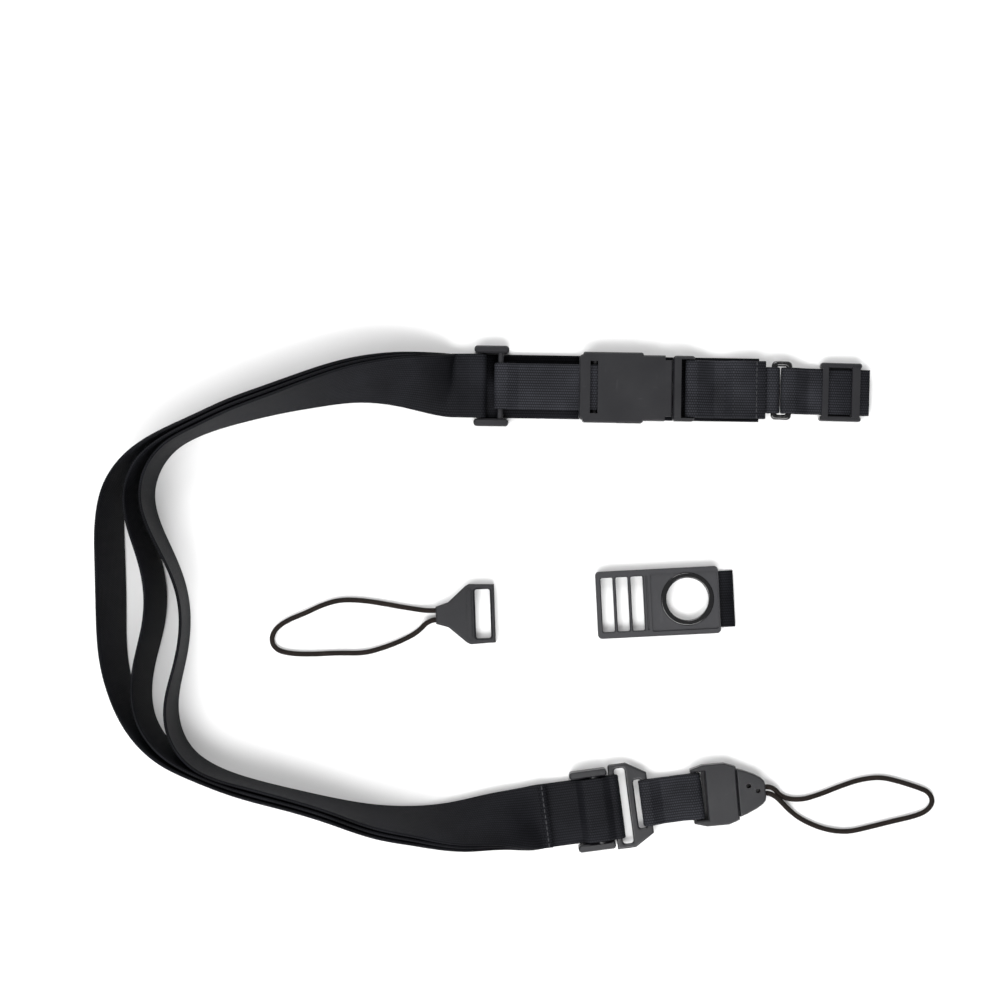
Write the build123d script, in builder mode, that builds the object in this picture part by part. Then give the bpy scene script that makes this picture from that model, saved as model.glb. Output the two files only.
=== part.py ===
"""Carrying strap set for a small hand-held instrument, laid out on a table.

Three groups share one frame: the main strap with its sliders, buckle and quick-release
connector, a spare loop connector on its own cord, and a ladder plate with a round eyelet.
+Z is up and the table is z = 0. All sizes are in millimetres.
"""

import os
from math import cos, pi, radians, sin, tan

from build123d import *

os.makedirs("parts", exist_ok=True)

# ---------------------------------------------------------------- webbing and cord stock
wide_width = 25.4
narrow_width = 18.4
ply = 1.2  # thickness of both webbings
ply_gap = 0.1  # air between plies that lie on each other
cord_diameter = 2.0

# ------------------------------------------------------------------------- moulded stock
bar_width = 2.4  # plain bars that webbing turns round
bar_height = 1.9
floor_bar = 1.0  # slider bars that run under the webbing
rail_width = 2.9
rail_clearance = 0.4  # webbing edge to slider rail
slide_gap = 0.1  # between a slider's bars and the webbing that it slides on
pin_gap = 0.15  # between a bar and the webbing eye round it
bar_corner = 0.93  # bars are nearly round-ended

# ------------------------------------------------------------ where the groups are placed
layout_shift = (-1.9, 0.0)
upper_start = (0.0, 84.9)
upper_heading = -0.9
lower_start = (23.7, -86.8)
lower_heading = 7.5
connector_heading = 5.0
terminal_heading = -1.6
spare_start = (-18.4, -6.6)
spare_heading = 2.0
plate_centre = (71.0, -1.4)
plate_heading = 2.9

# ------------------------------------------------------------------ strap levels and ends
pitch = ply + ply_gap
web_floor = floor_bar + slide_gap  # underside of the lowest ply where the strap is flat
flat_start = -12.0  # along the upper line, where the three plies are flat
tail_end = 110.5
upper_bar_x = -0.7
strap_bar_x = 7.4
upper_slider_x = 3.75
upper_slider_length = 13.8
lower_slider_x = 20.5
hump_foot = 15.6  # the webbing's hump over the lower slider's bar
hump_start = 18.2
hump_end = 25.6
lower_bar_x = 22.8
lower_slider_length = 15.0
slider_travel = 2.6
ring_bar_x = 29.8
hem_length = 3.2

# --------------------------------------------------------------------------------- buckle
socket_start = 38.6
socket_frame = 7.8
socket_end = 75.6
socket_half_width = 13.0
socket_wall = 1.4
front_bar = 1.9
guard_place = 13.5
guard_length = 24.0
guard_stand = 1.0
buckle_height = 7.0
plug_gap = 0.3
plug_end = 84.6
latch_length = 22.0
latch_clear = 0.15

# ------------------------------------------------------------------------- terminal parts
ring_wire = 2.1
ring_bar_spacing = 6.1
ring_loop_reach = 2.8  # how loose the terminal strap's loop is on the ring
ring_start = 116.2
terminal_end = 38.3
end_slider_x = 26.8
end_slider_length = 16.4

# ---------------------------------------------------------------------------- adapter ring
adapter_thick = 2.3
adapter_slot = 4.2
adapter_mid_bar = 2.8
adapter_half_left = 17.0
adapter_half_right = 12.2
adapter_strap_length = 19.8

# ------------------------------------------------------------------------ quick connector
connector_thick = 5.6
connector_half_width = 12.2
connector_body_end = 16.4
nose_length = 11.0
prong_length = 8.0

# ---------------------------------------------------------------------------- spare parts
spare_thick = 4.6
spare_frame_start = 12.0
spare_frame_end = 23.6
spare_half_width = 12.0
spare_slot = (6.0, 19.6)
plate_size = (49.0, 26.8)
plate_middle = -0.8
plate_thick = 3.4
plate_slot = (4.8, 21.6)
plate_slot_pitch = 6.0
plate_groove = -5.0
eyelet_radius = 8.4
eyelet_rim = 2.2
tab_width = 22.6
tab_length = 9.0
tab_middle = 24.2


def group_plane(start, heading):
    """A plane on the table with its x axis along a group's heading."""
    turn = radians(heading)
    origin = (start[0] + layout_shift[0], start[1] + layout_shift[1], 0)
    return Plane(origin=origin, x_dir=(cos(turn), sin(turn), 0), z_dir=(0, 0, 1))


def further(plane, along, heading, across=0.0):
    """A plane that starts some way along another one and heads its own way."""
    start = plane.from_local_coords((along, across, 0))
    turn = radians(heading)
    return Plane(origin=start, x_dir=(cos(turn), sin(turn), 0), z_dir=(0, 0, 1))


def side_of(plane):
    """The upright plane through a group's centre line: x along it, y up."""
    return Plane(origin=plane.origin, x_dir=plane.x_dir, z_dir=-plane.y_dir)


upper_line = group_plane(upper_start, upper_heading)
lower_line = group_plane(lower_start, lower_heading)
spare_line = group_plane(spare_start, spare_heading)
plate_line = group_plane(plate_centre, plate_heading)


def finish(part, name):
    """Label a finished piece and write it."""
    part.label = name
    export_step(part, f"parts/{name}.step")


def folded_strap(plane, route, radii, width):
    """Webbing of one ply that follows a side-on route of straight runs and bends."""
    with BuildPart() as strap:
        with BuildSketch(side_of(plane)):
            with BuildLine():
                FilletPolyline(*route, radius=radii)
            trace(line_width=ply)
        extrude(amount=width / 2, both=True)
    return strap.part


# ===================================================================== the wide main strap
# The strap lies in three runs. Each run's route gives the edge that stands on the table
# and the webbing's lean from upright: 90 is flat, and 0 stands on its edge. The upper
# runs lie inside the lowest one by their plies, over and above their own routes.
upper_flat = upper_line.from_local_coords((flat_start, -wide_width / 2, 0))
lower_flat = lower_line.from_local_coords((0, wide_width / 2, 0))

upper_arm = [
    (-21.5, 74.6, 74),
    (-34.0, 79.0, 50),
    (-49.0, 81.4, 34),
    (-66.0, 80.1, 24),
    (-84.0, 77.2, 15.5),
    (-98.0, 74.0, 11),
    (-113.0, 69.4, 6),
]
lower_arm = [
    (-112.8, -67.8, 5),
    (-95.0, -75.6, 2.5),
    (-77.0, -80.2, 3),
    (-58.0, -84.2, 7),
    (-41.0, -86.4, 15),
    (-25.0, -86.3, 23),
    (-9.0, -83.4, 38),
    (7.0, -78.4, 58),
]
bends = {
    "outer_run": [
        (-126.0, 62.3, 8),
        (-136.3, 53.6, 11),
        (-141.8, 44.0, 14),
        (-143.3, 32.0, 17.5),
        (-142.9, 15.0, 19),
        (-142.5, -5.0, 18.8),
        (-142.0, -22.0, 17),
        (-139.4, -36.0, 14.5),
        (-134.4, -49.0, 11),
        (-125.6, -60.0, 7.5),
    ],
    "middle_run": [
        (-125.5, 62.2, 7),
        (-133.6, 53.8, 9),
        (-137.0, 43.3, 11),
        (-135.6, 32.2, 12.5),
        (-131.1, 18.0, 12.7),
        (-128.2, 2.9, 12.7),
        (-129.0, -9.9, 12.5),
        (-131.8, -21.6, 12),
        (-134.1, -35.0, 11),
        (-132.6, -47.6, 9),
        (-124.7, -59.9, 6.5),
    ],
    "inner_run": [
        (-125.0, 62.5, 6),
        (-132.1, 53.2, 6.5),
        (-135.0, 40.8, 6),
        (-132.3, 28.4, 5),
        (-126.5, 15.2, 3.5),
        (-121.9, 1.4, 2),
        (-121.0, -11.8, 2),
        (-122.9, -25.3, 3),
        (-125.4, -38.2, 4.5),
        (-124.5, -51.4, 5.5),
        (-117.6, -63.9, 5),
    ],
}
loose = 0.65  # more air between the runs where they stand on edge
plies_below = {"outer_run": 0, "middle_run": 1, "inner_run": 2}
sections_per_run = 72
lean_scale = 0.1  # keeps the lean small beside the places along a route's curve


def shifted(station):
    """A station of a route, moved with the whole layout."""
    x, y, lean = station
    return (x + layout_shift[0], y + layout_shift[1], lean * lean_scale)


def run_route(name):
    """The stations of one run, from the upper flat stretch to the lower one."""
    start = (upper_flat.X, upper_flat.Y, 90 * lean_scale)
    end = (lower_flat.X, lower_flat.Y, 90 * lean_scale)
    return [start, *map(shifted, upper_arm + bends[name] + lower_arm), end]


def section_plane(point, heading, level):
    """The plane of one cross section, centred in the webbing's own thickness."""
    lean = radians(min(point.Z / lean_scale, 90))
    along = Vector(heading.X, heading.Y, 0).normalized()
    outward = Vector(along.Y, -along.X, 0)
    across = outward * sin(lean) + Vector(0, 0, cos(lean))
    inward = outward * -cos(lean) + Vector(0, 0, sin(lean))
    lift = ply / 2 * sin(lean) + web_floor * sin(lean) ** 2
    apart = level * (pitch + loose * cos(lean))
    foot = Vector(point.X, point.Y, lift) + inward * apart
    return Plane(origin=foot + across * (wide_width / 2), x_dir=across, z_dir=along)


def flat_strap(plane, start, end, level):
    """A flat stretch of the wide strap, with its underside at a level."""
    with BuildPart() as stretch:
        with BuildSketch(plane.offset(level)):
            with Locations(((start + end) / 2, 0)):
                Rectangle(end - start, wide_width)
        extrude(amount=ply)
    return stretch.part


def strap_run(name, flat_end):
    """One run of the wide strap, with the flat stretch that ends it."""
    upper_way = -upper_line.x_dir
    with BuildLine() as guide:
        Spline(*run_route(name), tangents=[upper_way, lower_line.x_dir])
    with BuildPart() as run:
        for i in range(sections_per_run + 1):
            share = i / sections_per_run
            here = section_plane(
                guide.line @ share, guide.line % share, plies_below[name]
            )
            with BuildSketch(here):
                Rectangle(wide_width, ply)
        loft(ruled=True)
        level = web_floor + plies_below[name] * pitch
        with BuildSketch(lower_line.offset(level)):
            with Locations((flat_end / 2, 0)):
                Rectangle(flat_end, wide_width)
        extrude(amount=ply)
    return run.part


# The bottom run carries on under the upper slider and the buckle to its cut end, and at
# the other end it goes through the lower slider to the adapter ring.
middle_level = web_floor + pitch + ply / 2
inner_level = middle_level + pitch
outer_level = web_floor + ply / 2
run_end = 8.0  # along the lower line, where the middle run starts to climb

finish(strap_run("outer_run", ring_bar_x), "outer_run")
finish(strap_run("middle_run", run_end), "middle_run")
finish(strap_run("inner_run", hem_length), "inner_run")
finish(flat_strap(upper_line, flat_start, tail_end, web_floor), "strap_tail")

# The middle and inner runs are one length of webbing, turned round the slider's bar with
# room for the bar to travel inside the turn.
turn_radius = (bar_height + 2 * pin_gap + ply) / 2
bar_level = middle_level + turn_radius
reach = bar_width / 2 + pin_gap + ply / 2  # from a bar's middle to its webbing's
turn_end = upper_bar_x + reach
climb = 5.0
upper_turn = folded_strap(
    upper_line,
    [
        (flat_start, middle_level),
        (turn_end, middle_level),
        (turn_end, bar_level + turn_radius),
        (upper_bar_x - bar_width / 2 - slider_travel, bar_level + turn_radius),
        (
            upper_bar_x - bar_width / 2 - slider_travel - climb,
            inner_level,
        ),
        (flat_start, inner_level),
    ],
    [turn_radius * 0.98, turn_radius * 0.98, 2.0, 1.0],
    wide_width,
)
finish(upper_turn, "upper_turn")

# At the lower end the bottom run turns round the adapter ring's bar and comes back over
# the lower slider's bar to become the middle run.
ring_turn_radius = (adapter_thick + 2 * pin_gap + ply) / 2
ring_level = outer_level + ring_turn_radius
top_level = ring_level + ring_turn_radius
hump_level = top_level + 2.5
lower_turn = folded_strap(
    lower_line,
    [
        (ring_bar_x, outer_level),
        (ring_bar_x + reach, outer_level),
        (ring_bar_x + reach, top_level),
        (ring_bar_x - 1.4, top_level),
        (hump_end, hump_level),
        (hump_start, hump_level),
        (hump_foot, middle_level),
        (run_end, middle_level),
    ],
    [ring_turn_radius * 0.98, ring_turn_radius * 0.98, 1.6, 2.0, 2.0, 1.5],
    wide_width,
)
finish(lower_turn, "lower_turn")

# The hem at the strap's lower end is one more ply, folded back and stitched.
with BuildPart() as strap_hem:
    with BuildSketch(lower_line.offset(inner_level + ply / 2 + ply_gap)):
        with Locations((hem_length / 2, 0)):
            Rectangle(hem_length, wide_width)
    extrude(amount=ply / 2)
finish(strap_hem.part, "strap_hem")


# ================================================================================ sliders
def slider(plane, centre, length, bars, top):
    """A strap slider: two rails beside the webbing and bars across it.

    Each bar is (place along the strap, underside, width, height).
    """
    inside = wide_width / 2 + rail_clearance
    with BuildPart() as frame:
        with BuildSketch(plane):
            for side in (-1, 1):
                with Locations((centre, side * (inside + rail_width / 2))):
                    RectangleRounded(length, rail_width, rail_width * 0.45)
        extrude(amount=top)
        chamfer(frame.edges().group_by(Axis.Z)[-1], 0.6)
        for place, underside, width, height in bars:
            with BuildSketch(side_of(plane)):
                with Locations((place, underside + height / 2)):
                    RectangleRounded(width, height, min(width, height) * 0.49)
            extrude(amount=inside + rail_width / 2, both=True)
    return frame.part


upper_slider_top = bar_level + bar_height / 2 + 1.2
upper_slider = slider(
    upper_line,
    upper_slider_x,
    upper_slider_length,
    [
        (upper_slider_x, 0, 9.0, floor_bar),
        (upper_bar_x, bar_level - bar_height / 2, bar_width, bar_height),
        (strap_bar_x, bar_level - bar_height / 2, bar_width, bar_height),
    ],
    upper_slider_top,
)
finish(upper_slider, "upper_slider")

lower_bar_level = web_floor + ply + slide_gap
lower_bar_height = hump_level - ply / 2 - slide_gap - lower_bar_level
lower_slider = slider(
    lower_line,
    lower_slider_x,
    lower_slider_length,
    [
        (lower_slider_x, 0, 7.0, floor_bar),
        (lower_bar_x, lower_bar_level, 4.0, lower_bar_height),
    ],
    top_level + ply / 2 + 1.4,
)
finish(lower_slider, "lower_slider")

# ==================================================================== strap to the buckle
strap_bar_level = bar_level
eye = (bar_height + 2 * pin_gap + ply) / 2
socket_bar_x = socket_start + socket_frame - 1.4
socket_bar_level = 5.0
strap_low = web_floor + ply + ply_gap + ply / 2
buckle_strap = folded_strap(
    upper_line,
    [
        (25.8, strap_low),
        (strap_bar_x - reach, strap_bar_level - eye),
        (strap_bar_x - reach, strap_bar_level + eye),
        (strap_bar_x + 2.5, strap_bar_level + eye),
        (strap_bar_x + 7.0, strap_low + pitch),
        (socket_bar_x - 7.0, strap_low + pitch),
        (socket_bar_x - 2.5, socket_bar_level + eye),
        (socket_bar_x + reach, socket_bar_level + eye),
        (socket_bar_x + reach, socket_bar_level - eye),
        (socket_bar_x - 2.5, socket_bar_level - eye),
        (socket_bar_x - 5.0, strap_low),
        (26.2, strap_low),
    ],
    [eye * 0.96, eye * 0.96, 1.5, 1.5, 1.5, 1.2, eye * 0.96, eye * 0.96, 0.8, 0.8],
    narrow_width,
)
finish(buckle_strap, "buckle_strap")

# ================================================================================= buckle
buckle_floor = web_floor + ply + ply_gap
cavity_floor = buckle_floor + 1.3
cavity_height = buckle_height - 2.6
socket_inside = socket_half_width - socket_wall
body_start = socket_start + socket_frame
cavity_start = socket_end - latch_length - 1.0
socket_length = socket_end - socket_start
slot_length = 2 * (socket_half_width - 2.6)

with BuildPart() as buckle_socket:
    with BuildSketch(upper_line.offset(buckle_floor)):
        with Locations((socket_start + socket_length / 2, 0)):
            RectangleRounded(socket_length, 2 * socket_half_width, 1.6)
        with Locations((socket_start + guard_place, 0)):
            RectangleRounded(guard_length, 2 * (socket_half_width + guard_stand), 0.9)
    extrude(amount=buckle_height)
    chamfer(buckle_socket.edges().group_by(Axis.Z)[-1], 0.5)
    # The strap's way in: open below the front bar, and a slot behind it.
    with BuildSketch(upper_line.offset(buckle_floor)):
        with Locations((socket_start + socket_frame / 2 + 0.8, 0)):
            Rectangle(socket_frame + 1.6, slot_length)
    extrude(amount=buckle_height - front_bar, mode=Mode.SUBTRACT)
    with BuildSketch(upper_line.offset(buckle_floor)):
        with Locations((body_start - 1.9, 0)):
            Rectangle(3.0, slot_length)
    extrude(amount=buckle_height, mode=Mode.SUBTRACT)
    with BuildSketch(side_of(upper_line)):
        with Locations((socket_bar_x, socket_bar_level)):
            RectangleRounded(bar_width, bar_height, bar_corner)
    extrude(amount=slot_length / 2 + 0.5, both=True)
    # The chamber that takes the plug, open to the mouth and to both side windows.
    with BuildSketch(upper_line.offset(cavity_floor)):
        with Locations(((cavity_start + socket_end) / 2, 0)):
            Rectangle(socket_end - cavity_start, 2 * socket_inside)
    extrude(amount=cavity_height, mode=Mode.SUBTRACT)
    with BuildSketch(upper_line.offset(cavity_floor)):
        with Locations((cavity_start + 7.0, 0)):
            Rectangle(12.0, 2 * socket_half_width + 4)
    extrude(amount=cavity_height, mode=Mode.SUBTRACT)
    # Notches in the mouth's corners.
    with BuildSketch(upper_line.offset(buckle_floor)):
        for side in (-1, 1):
            with Locations((socket_end - 1.4, side * (socket_half_width - 0.6))):
                Rectangle(2.9, 2.6)
    extrude(amount=buckle_height, mode=Mode.SUBTRACT)
finish(buckle_socket.part, "buckle_socket")

plug_start = socket_end + plug_gap
plug_bar_x = plug_end - bar_width / 2
plug_level = buckle_floor + buckle_height / 2
tongue_half = 2.4
with BuildPart() as buckle_plug:
    with BuildSketch(upper_line.offset(buckle_floor + 0.3)):
        with Locations(((plug_start + plug_end) / 2, 0)):
            RectangleRounded(plug_end - plug_start, 2 * socket_half_width, 1.2)
    extrude(amount=buckle_height - 0.6)
    chamfer(buckle_plug.edges().group_by(Axis.Z)[-1], 0.6)
    with BuildSketch(upper_line.offset(buckle_floor)):
        with Locations((plug_end - 2.7, 0)):
            Rectangle(5.5, 2 * (socket_half_width - 1.3))
    extrude(amount=buckle_height, mode=Mode.SUBTRACT)
    with BuildSketch(side_of(upper_line)):
        with Locations((plug_bar_x, plug_level)):
            RectangleRounded(bar_width, bar_height, bar_corner)
    extrude(amount=socket_half_width - 1.0, both=True)
    # The guide tongue between the two latch arms.
    with BuildSketch(upper_line.offset(cavity_floor + 0.3)):
        with Locations((plug_start - latch_length * 0.4, 0)):
            Rectangle(latch_length * 0.8 + 1.0, 2 * tongue_half)
    extrude(amount=cavity_height - 0.6)
    # Round seats that the latch arms flex about.
    with BuildSketch(upper_line.offset(cavity_floor + 0.3)):
        for side in (-1, 1):
            with Locations((plug_start + 0.2, side * 8.6)):
                Circle(1.5)
    extrude(amount=cavity_height - 0.6, mode=Mode.SUBTRACT)
finish(buckle_plug.part, "buckle_plug")


def latch_arm(side):
    """A sprung arm with a finger pad that shows in the socket's side window."""
    outside = socket_inside - latch_clear
    with BuildPart() as arm:
        with BuildSketch(upper_line.offset(cavity_floor + 0.45)):
            with BuildLine():
                Polyline(
                    (plug_start - 0.4, side * 9.4),
                    (plug_start - 8.0, side * (outside - 0.6)),
                    (plug_start - 10.5, side * outside),
                    (plug_start - 20.0, side * outside),
                    (plug_start - 21.5, side * (outside - 2.0)),
                    (plug_start - 20.0, side * (outside - 4.0)),
                    (plug_start - 10.0, side * 8.2),
                    (plug_start - 0.4, side * 7.8),
                    close=True,
                )
            make_face()
            with Locations((plug_start + 0.2, side * 8.6)):
                Circle(1.4)
        extrude(amount=cavity_height - 0.9)
    return arm.part


finish(latch_arm(1), "latch_arm_left")
finish(latch_arm(-1), "latch_arm_right")

# ==================================================== stitched loop and rectangular ring
loop_width = 2 * (socket_half_width - 1.3) - 0.4
plug_eye = (bar_height + 2 * pin_gap + ply) / 2
loop_end = ring_start - 3.4
keeper_start = 101.0
keeper_low = strap_low + pitch
keeper_high = keeper_low + pitch
stitched_loop = folded_strap(
    upper_line,
    [
        (loop_end, strap_low),
        (plug_bar_x + 7.0, strap_low),
        (plug_bar_x + 2.0, plug_level - plug_eye),
        (plug_bar_x - reach, plug_level - plug_eye),
        (plug_bar_x - reach, plug_level + plug_eye),
        (plug_bar_x + 2.0, plug_level + plug_eye),
        (plug_bar_x + 9.0, strap_low + pitch),
        (keeper_start - 4.0, strap_low + pitch),
        (keeper_start - 0.8, keeper_high + pitch),
        (loop_end, keeper_high + pitch),
    ],
    [1.0, 1.0, plug_eye * 0.96, plug_eye * 0.96, 1.5, 1.5, 0.8, 0.8],
    loop_width,
)
finish(stitched_loop, "stitched_loop")

keeper_eye = (ring_wire + 2 * pin_gap + ply) / 2
keeper_level = keeper_low + pitch / 2
ring_keeper = folded_strap(
    upper_line,
    [
        (keeper_start + 1.0, keeper_low),
        (ring_start - 3.2, keeper_low),
        (ring_start - 1.4, keeper_level - keeper_eye),
        (ring_start + keeper_eye, keeper_level - keeper_eye),
        (ring_start + keeper_eye, keeper_level + keeper_eye),
        (ring_start - 1.4, keeper_level + keeper_eye),
        (ring_start - 3.2, keeper_high),
        (keeper_start + 1.0, keeper_high),
    ],
    [0.8, 0.8, keeper_eye * 0.96, keeper_eye * 0.96, 0.8, 0.8],
    narrow_width,
)
finish(ring_keeper, "ring_keeper")


def stitch_row(plane, along, level, width, count):
    """A row of short thread stitches across the webbing, one solid each."""
    pitch_across = width / count
    with BuildPart() as row:
        for i in range(count):
            place = (i + 0.5) * pitch_across - width / 2
            with BuildSketch(plane.offset(level)):
                with Locations(Location((along, place), 90)):
                    RectangleRounded(pitch_across * 0.72, 0.5, 0.2)
            extrude(amount=0.25)
    return row.part


loop_top = keeper_high + pitch + ply / 2
finish(
    stitch_row(upper_line, loop_end - 3.6, loop_top, loop_width - 2.0, 9),
    "loop_stitches",
)
finish(
    stitch_row(
        lower_line, hem_length - 1.6, inner_level + ply + ply_gap, wide_width - 2.0, 9
    ),
    "hem_stitches",
)

terminal_line = further(upper_line, ring_start, terminal_heading)
ring_inside = narrow_width + 0.8
with BuildPart() as rectangular_ring:
    with BuildSketch(terminal_line.offset(keeper_level)):
        with Locations((ring_bar_spacing / 2, 0)):
            RectangleRounded(
                ring_bar_spacing + ring_wire, ring_inside + 2 * ring_wire, 1.9
            )
            RectangleRounded(
                ring_bar_spacing - ring_wire, ring_inside, 0.8, mode=Mode.SUBTRACT
            )
    extrude(amount=ring_wire / 2, both=True)
    fillet(rectangular_ring.edges().group_by(Axis.Z)[-1], ring_wire * 0.45)
    fillet(rectangular_ring.edges().group_by(Axis.Z)[0], ring_wire * 0.45)
finish(rectangular_ring.part, "rectangular_ring")

# The narrow terminal strap is doubled round the ring's far bar.
far_eye = keeper_eye
terminal_low = web_floor + ply / 2
terminal_high = terminal_low + pitch
drop = 7.5
terminal_strap = folded_strap(
    terminal_line,
    [
        (terminal_end - 1.2, terminal_low),
        (ring_bar_spacing + drop, terminal_low),
        (ring_bar_spacing + 2.0, keeper_level - far_eye),
        (ring_bar_spacing - ring_loop_reach, keeper_level - far_eye),
        (ring_bar_spacing - ring_loop_reach, keeper_level + far_eye),
        (ring_bar_spacing + 2.0, keeper_level + far_eye),
        (ring_bar_spacing + drop, terminal_high),
        (terminal_end, terminal_high),
    ],
    [4.0, 2.0, far_eye * 0.96, far_eye * 0.96, 3.0, 4.0],
    narrow_width,
)
finish(terminal_strap, "terminal_strap")

end_inside = narrow_width / 2 + rail_clearance
end_top = terminal_high + ply / 2 + slide_gap
end_bar = 3.2
with BuildPart() as end_slider:
    with BuildSketch(terminal_line):
        for side in (-1, 1):
            with Locations((end_slider_x, side * (end_inside + 1.0))):
                RectangleRounded(end_slider_length, 2.0, 0.9)
    extrude(amount=end_top + 1.4)
    chamfer(end_slider.edges().group_by(Axis.Z)[-1], 0.4)
    with BuildSketch(terminal_line):
        with Locations((end_slider_x - 1.5, 0)):
            Rectangle(end_slider_length - 5.0, 2 * end_inside + 1.0)
    extrude(amount=floor_bar)
    with BuildSketch(terminal_line.offset(end_top)):
        with Locations((end_slider_x + end_slider_length / 2 - end_bar / 2 - 0.6, 0)):
            Rectangle(end_bar, 2 * end_inside + 1.0)
    extrude(amount=1.8)
    with BuildSketch(terminal_line.offset(end_top)):
        with Locations((end_slider_x - end_slider_length / 2 + 2.0, 0)):
            Rectangle(2.4, 2 * end_inside + 1.0)
    extrude(amount=1.5)
finish(end_slider.part, "end_slider")

# =========================================================================== adapter ring
slot_start = ring_bar_x + bar_width / 2
mid_start = slot_start + adapter_slot
second_start = mid_start + adapter_mid_bar
second_end = second_start + adapter_slot - 0.9
adapter_end = second_end + bar_width
adapter_bar_x = second_end + bar_width / 2
adapter_floor = ring_level - adapter_thick / 2
first_slot_half = adapter_half_left - 1.9
second_slot_half = narrow_width / 2 + 0.5
with BuildPart() as adapter_ring:
    with BuildSketch(lower_line.offset(adapter_floor)):
        with BuildLine():
            Polyline(
                (slot_start - bar_width, -adapter_half_left),
                (mid_start + 0.6, -adapter_half_left),
                (adapter_end, -adapter_half_right),
                (adapter_end, adapter_half_right),
                (mid_start + 0.6, adapter_half_left),
                (slot_start - bar_width, adapter_half_left),
                close=True,
            )
        make_face()
        with Locations(((slot_start + mid_start) / 2, 0)):
            RectangleRounded(
                adapter_slot, 2 * first_slot_half, 1.2, mode=Mode.SUBTRACT
            )
        with Locations(((second_start + second_end) / 2, 0)):
            RectangleRounded(
                second_end - second_start, 2 * second_slot_half, 1.0, mode=Mode.SUBTRACT
            )
    extrude(amount=adapter_thick)
    fillet(adapter_ring.edges().filter_by(Axis.Z).group_by(Axis.X)[0], 1.1)
    fillet(adapter_ring.edges().group_by(Axis.Z)[-1], 0.8)
    fillet(adapter_ring.edges().group_by(Axis.Z)[0], 0.8)
finish(adapter_ring.part, "adapter_ring")

# ============================================================ lower strap and connector
adapter_eye = (adapter_thick + 2 * pin_gap + ply) / 2
connector_bar_x = adapter_bar_x + adapter_strap_length
connector_line = further(lower_line, connector_bar_x, connector_heading)
connector_eye = (bar_height + 2 * pin_gap + ply) / 2
lower_low = ring_level - adapter_eye
connector_level = lower_low + connector_eye
strap_middle = (adapter_bar_x + connector_bar_x) / 2
lower_strap = folded_strap(
    lower_line,
    [
        (strap_middle - 0.2, lower_low),
        (adapter_bar_x - reach, lower_low),
        (adapter_bar_x - reach, ring_level + adapter_eye),
        (adapter_bar_x + 1.6, ring_level + adapter_eye),
        (adapter_bar_x + 6.0, lower_low + pitch),
        (connector_bar_x - 5.5, lower_low + pitch),
        (connector_bar_x - 2.0, connector_level + connector_eye),
        (connector_bar_x + reach, connector_level + connector_eye),
        (connector_bar_x + reach, lower_low),
        (strap_middle + 0.2, lower_low),
    ],
    [
        *[adapter_eye * 0.96, adapter_eye * 0.96, 1.5, 1.5],
        *[1.5, 1.5, connector_eye * 0.96, connector_eye * 0.96],
    ],
    narrow_width,
)
finish(lower_strap, "lower_strap")

connector_floor = connector_level - connector_thick / 2
prong_half = 1.6
prong_place = 5.6
nose_gap = 0.2
nose_start = connector_body_end + nose_gap
with BuildPart() as connector_socket:
    with BuildSketch(connector_line.offset(connector_floor)):
        with BuildLine():
            Polyline(
                (3.2, -connector_half_width),
                (12.0, -connector_half_width),
                (connector_body_end, -connector_half_width + 1.6),
                (connector_body_end, connector_half_width - 1.6),
                (12.0, connector_half_width),
                (3.2, connector_half_width),
                (-1.7, connector_half_width - 1.4),
                (-1.7, -connector_half_width + 1.4),
                close=True,
            )
        make_face()
        with Locations((1.1, 0)):
            Rectangle(5.6, narrow_width + 1.0, mode=Mode.SUBTRACT)
    extrude(amount=connector_thick)
    chamfer(connector_socket.edges().group_by(Axis.Z)[-1], 0.6)
    # A ledge closes the slot's far side underneath.
    with BuildSketch(connector_line.offset(connector_floor)):
        with Locations((3.3, 0)):
            Rectangle(1.4, narrow_width + 1.2)
    extrude(amount=0.6)
    # The strap's bar, square to the strap rather than to the body.
    with BuildSketch(side_of(lower_line)):
        with Locations((connector_bar_x, connector_level)):
            RectangleRounded(bar_width, bar_height, bar_corner)
    extrude(amount=narrow_width / 2 + 1.4, both=True)
    # Two blind pockets for the nose's prongs.
    with BuildSketch(connector_line.offset(connector_level - 1.5)):
        for side in (-1, 1):
            with Locations((connector_body_end - 4.6, side * prong_place)):
                Rectangle(9.4, 2 * prong_half + 0.6)
    extrude(amount=3.0, mode=Mode.SUBTRACT)
finish(connector_socket.part, "connector_socket")

nose_end = nose_start + nose_length
cord_hole_spacing = 1.3
with BuildPart() as connector_nose:
    with BuildSketch(connector_line.offset(connector_floor + 0.3)):
        with BuildLine():
            Polyline(
                (nose_start, -connector_half_width + 2.6),
                (nose_start + 3.0, -8.6),
                (nose_start + 7.0, -6.8),
                (nose_end - 1.4, -5.2),
                (nose_end - 0.3, -3.9),
                (nose_end, -2.6),
                (nose_end, 2.6),
                (nose_end - 0.3, 3.9),
                (nose_end - 1.4, 5.2),
                (nose_start + 7.0, 6.8),
                (nose_start + 3.0, 8.6),
                (nose_start, connector_half_width - 2.6),
                close=True,
            )
        make_face()
    extrude(amount=connector_thick - 0.6)
    chamfer(connector_nose.edges().group_by(Axis.Z)[-1], 0.5)
    with BuildSketch(connector_line.offset(connector_level - 1.2)):
        for side in (-1, 1):
            with Locations((nose_start - prong_length / 2 + 0.5, side * prong_place)):
                Rectangle(prong_length + 1.0, 2 * prong_half)
    extrude(amount=2.4)
    with BuildSketch(connector_line.offset(connector_floor + 0.3)):
        with Locations((nose_start + 4.4, 2.4), (nose_start + 8.0, 0.2)):
            Circle(0.9)
    extrude(amount=connector_thick, mode=Mode.SUBTRACT)
finish(connector_nose.part, "connector_nose")

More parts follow.
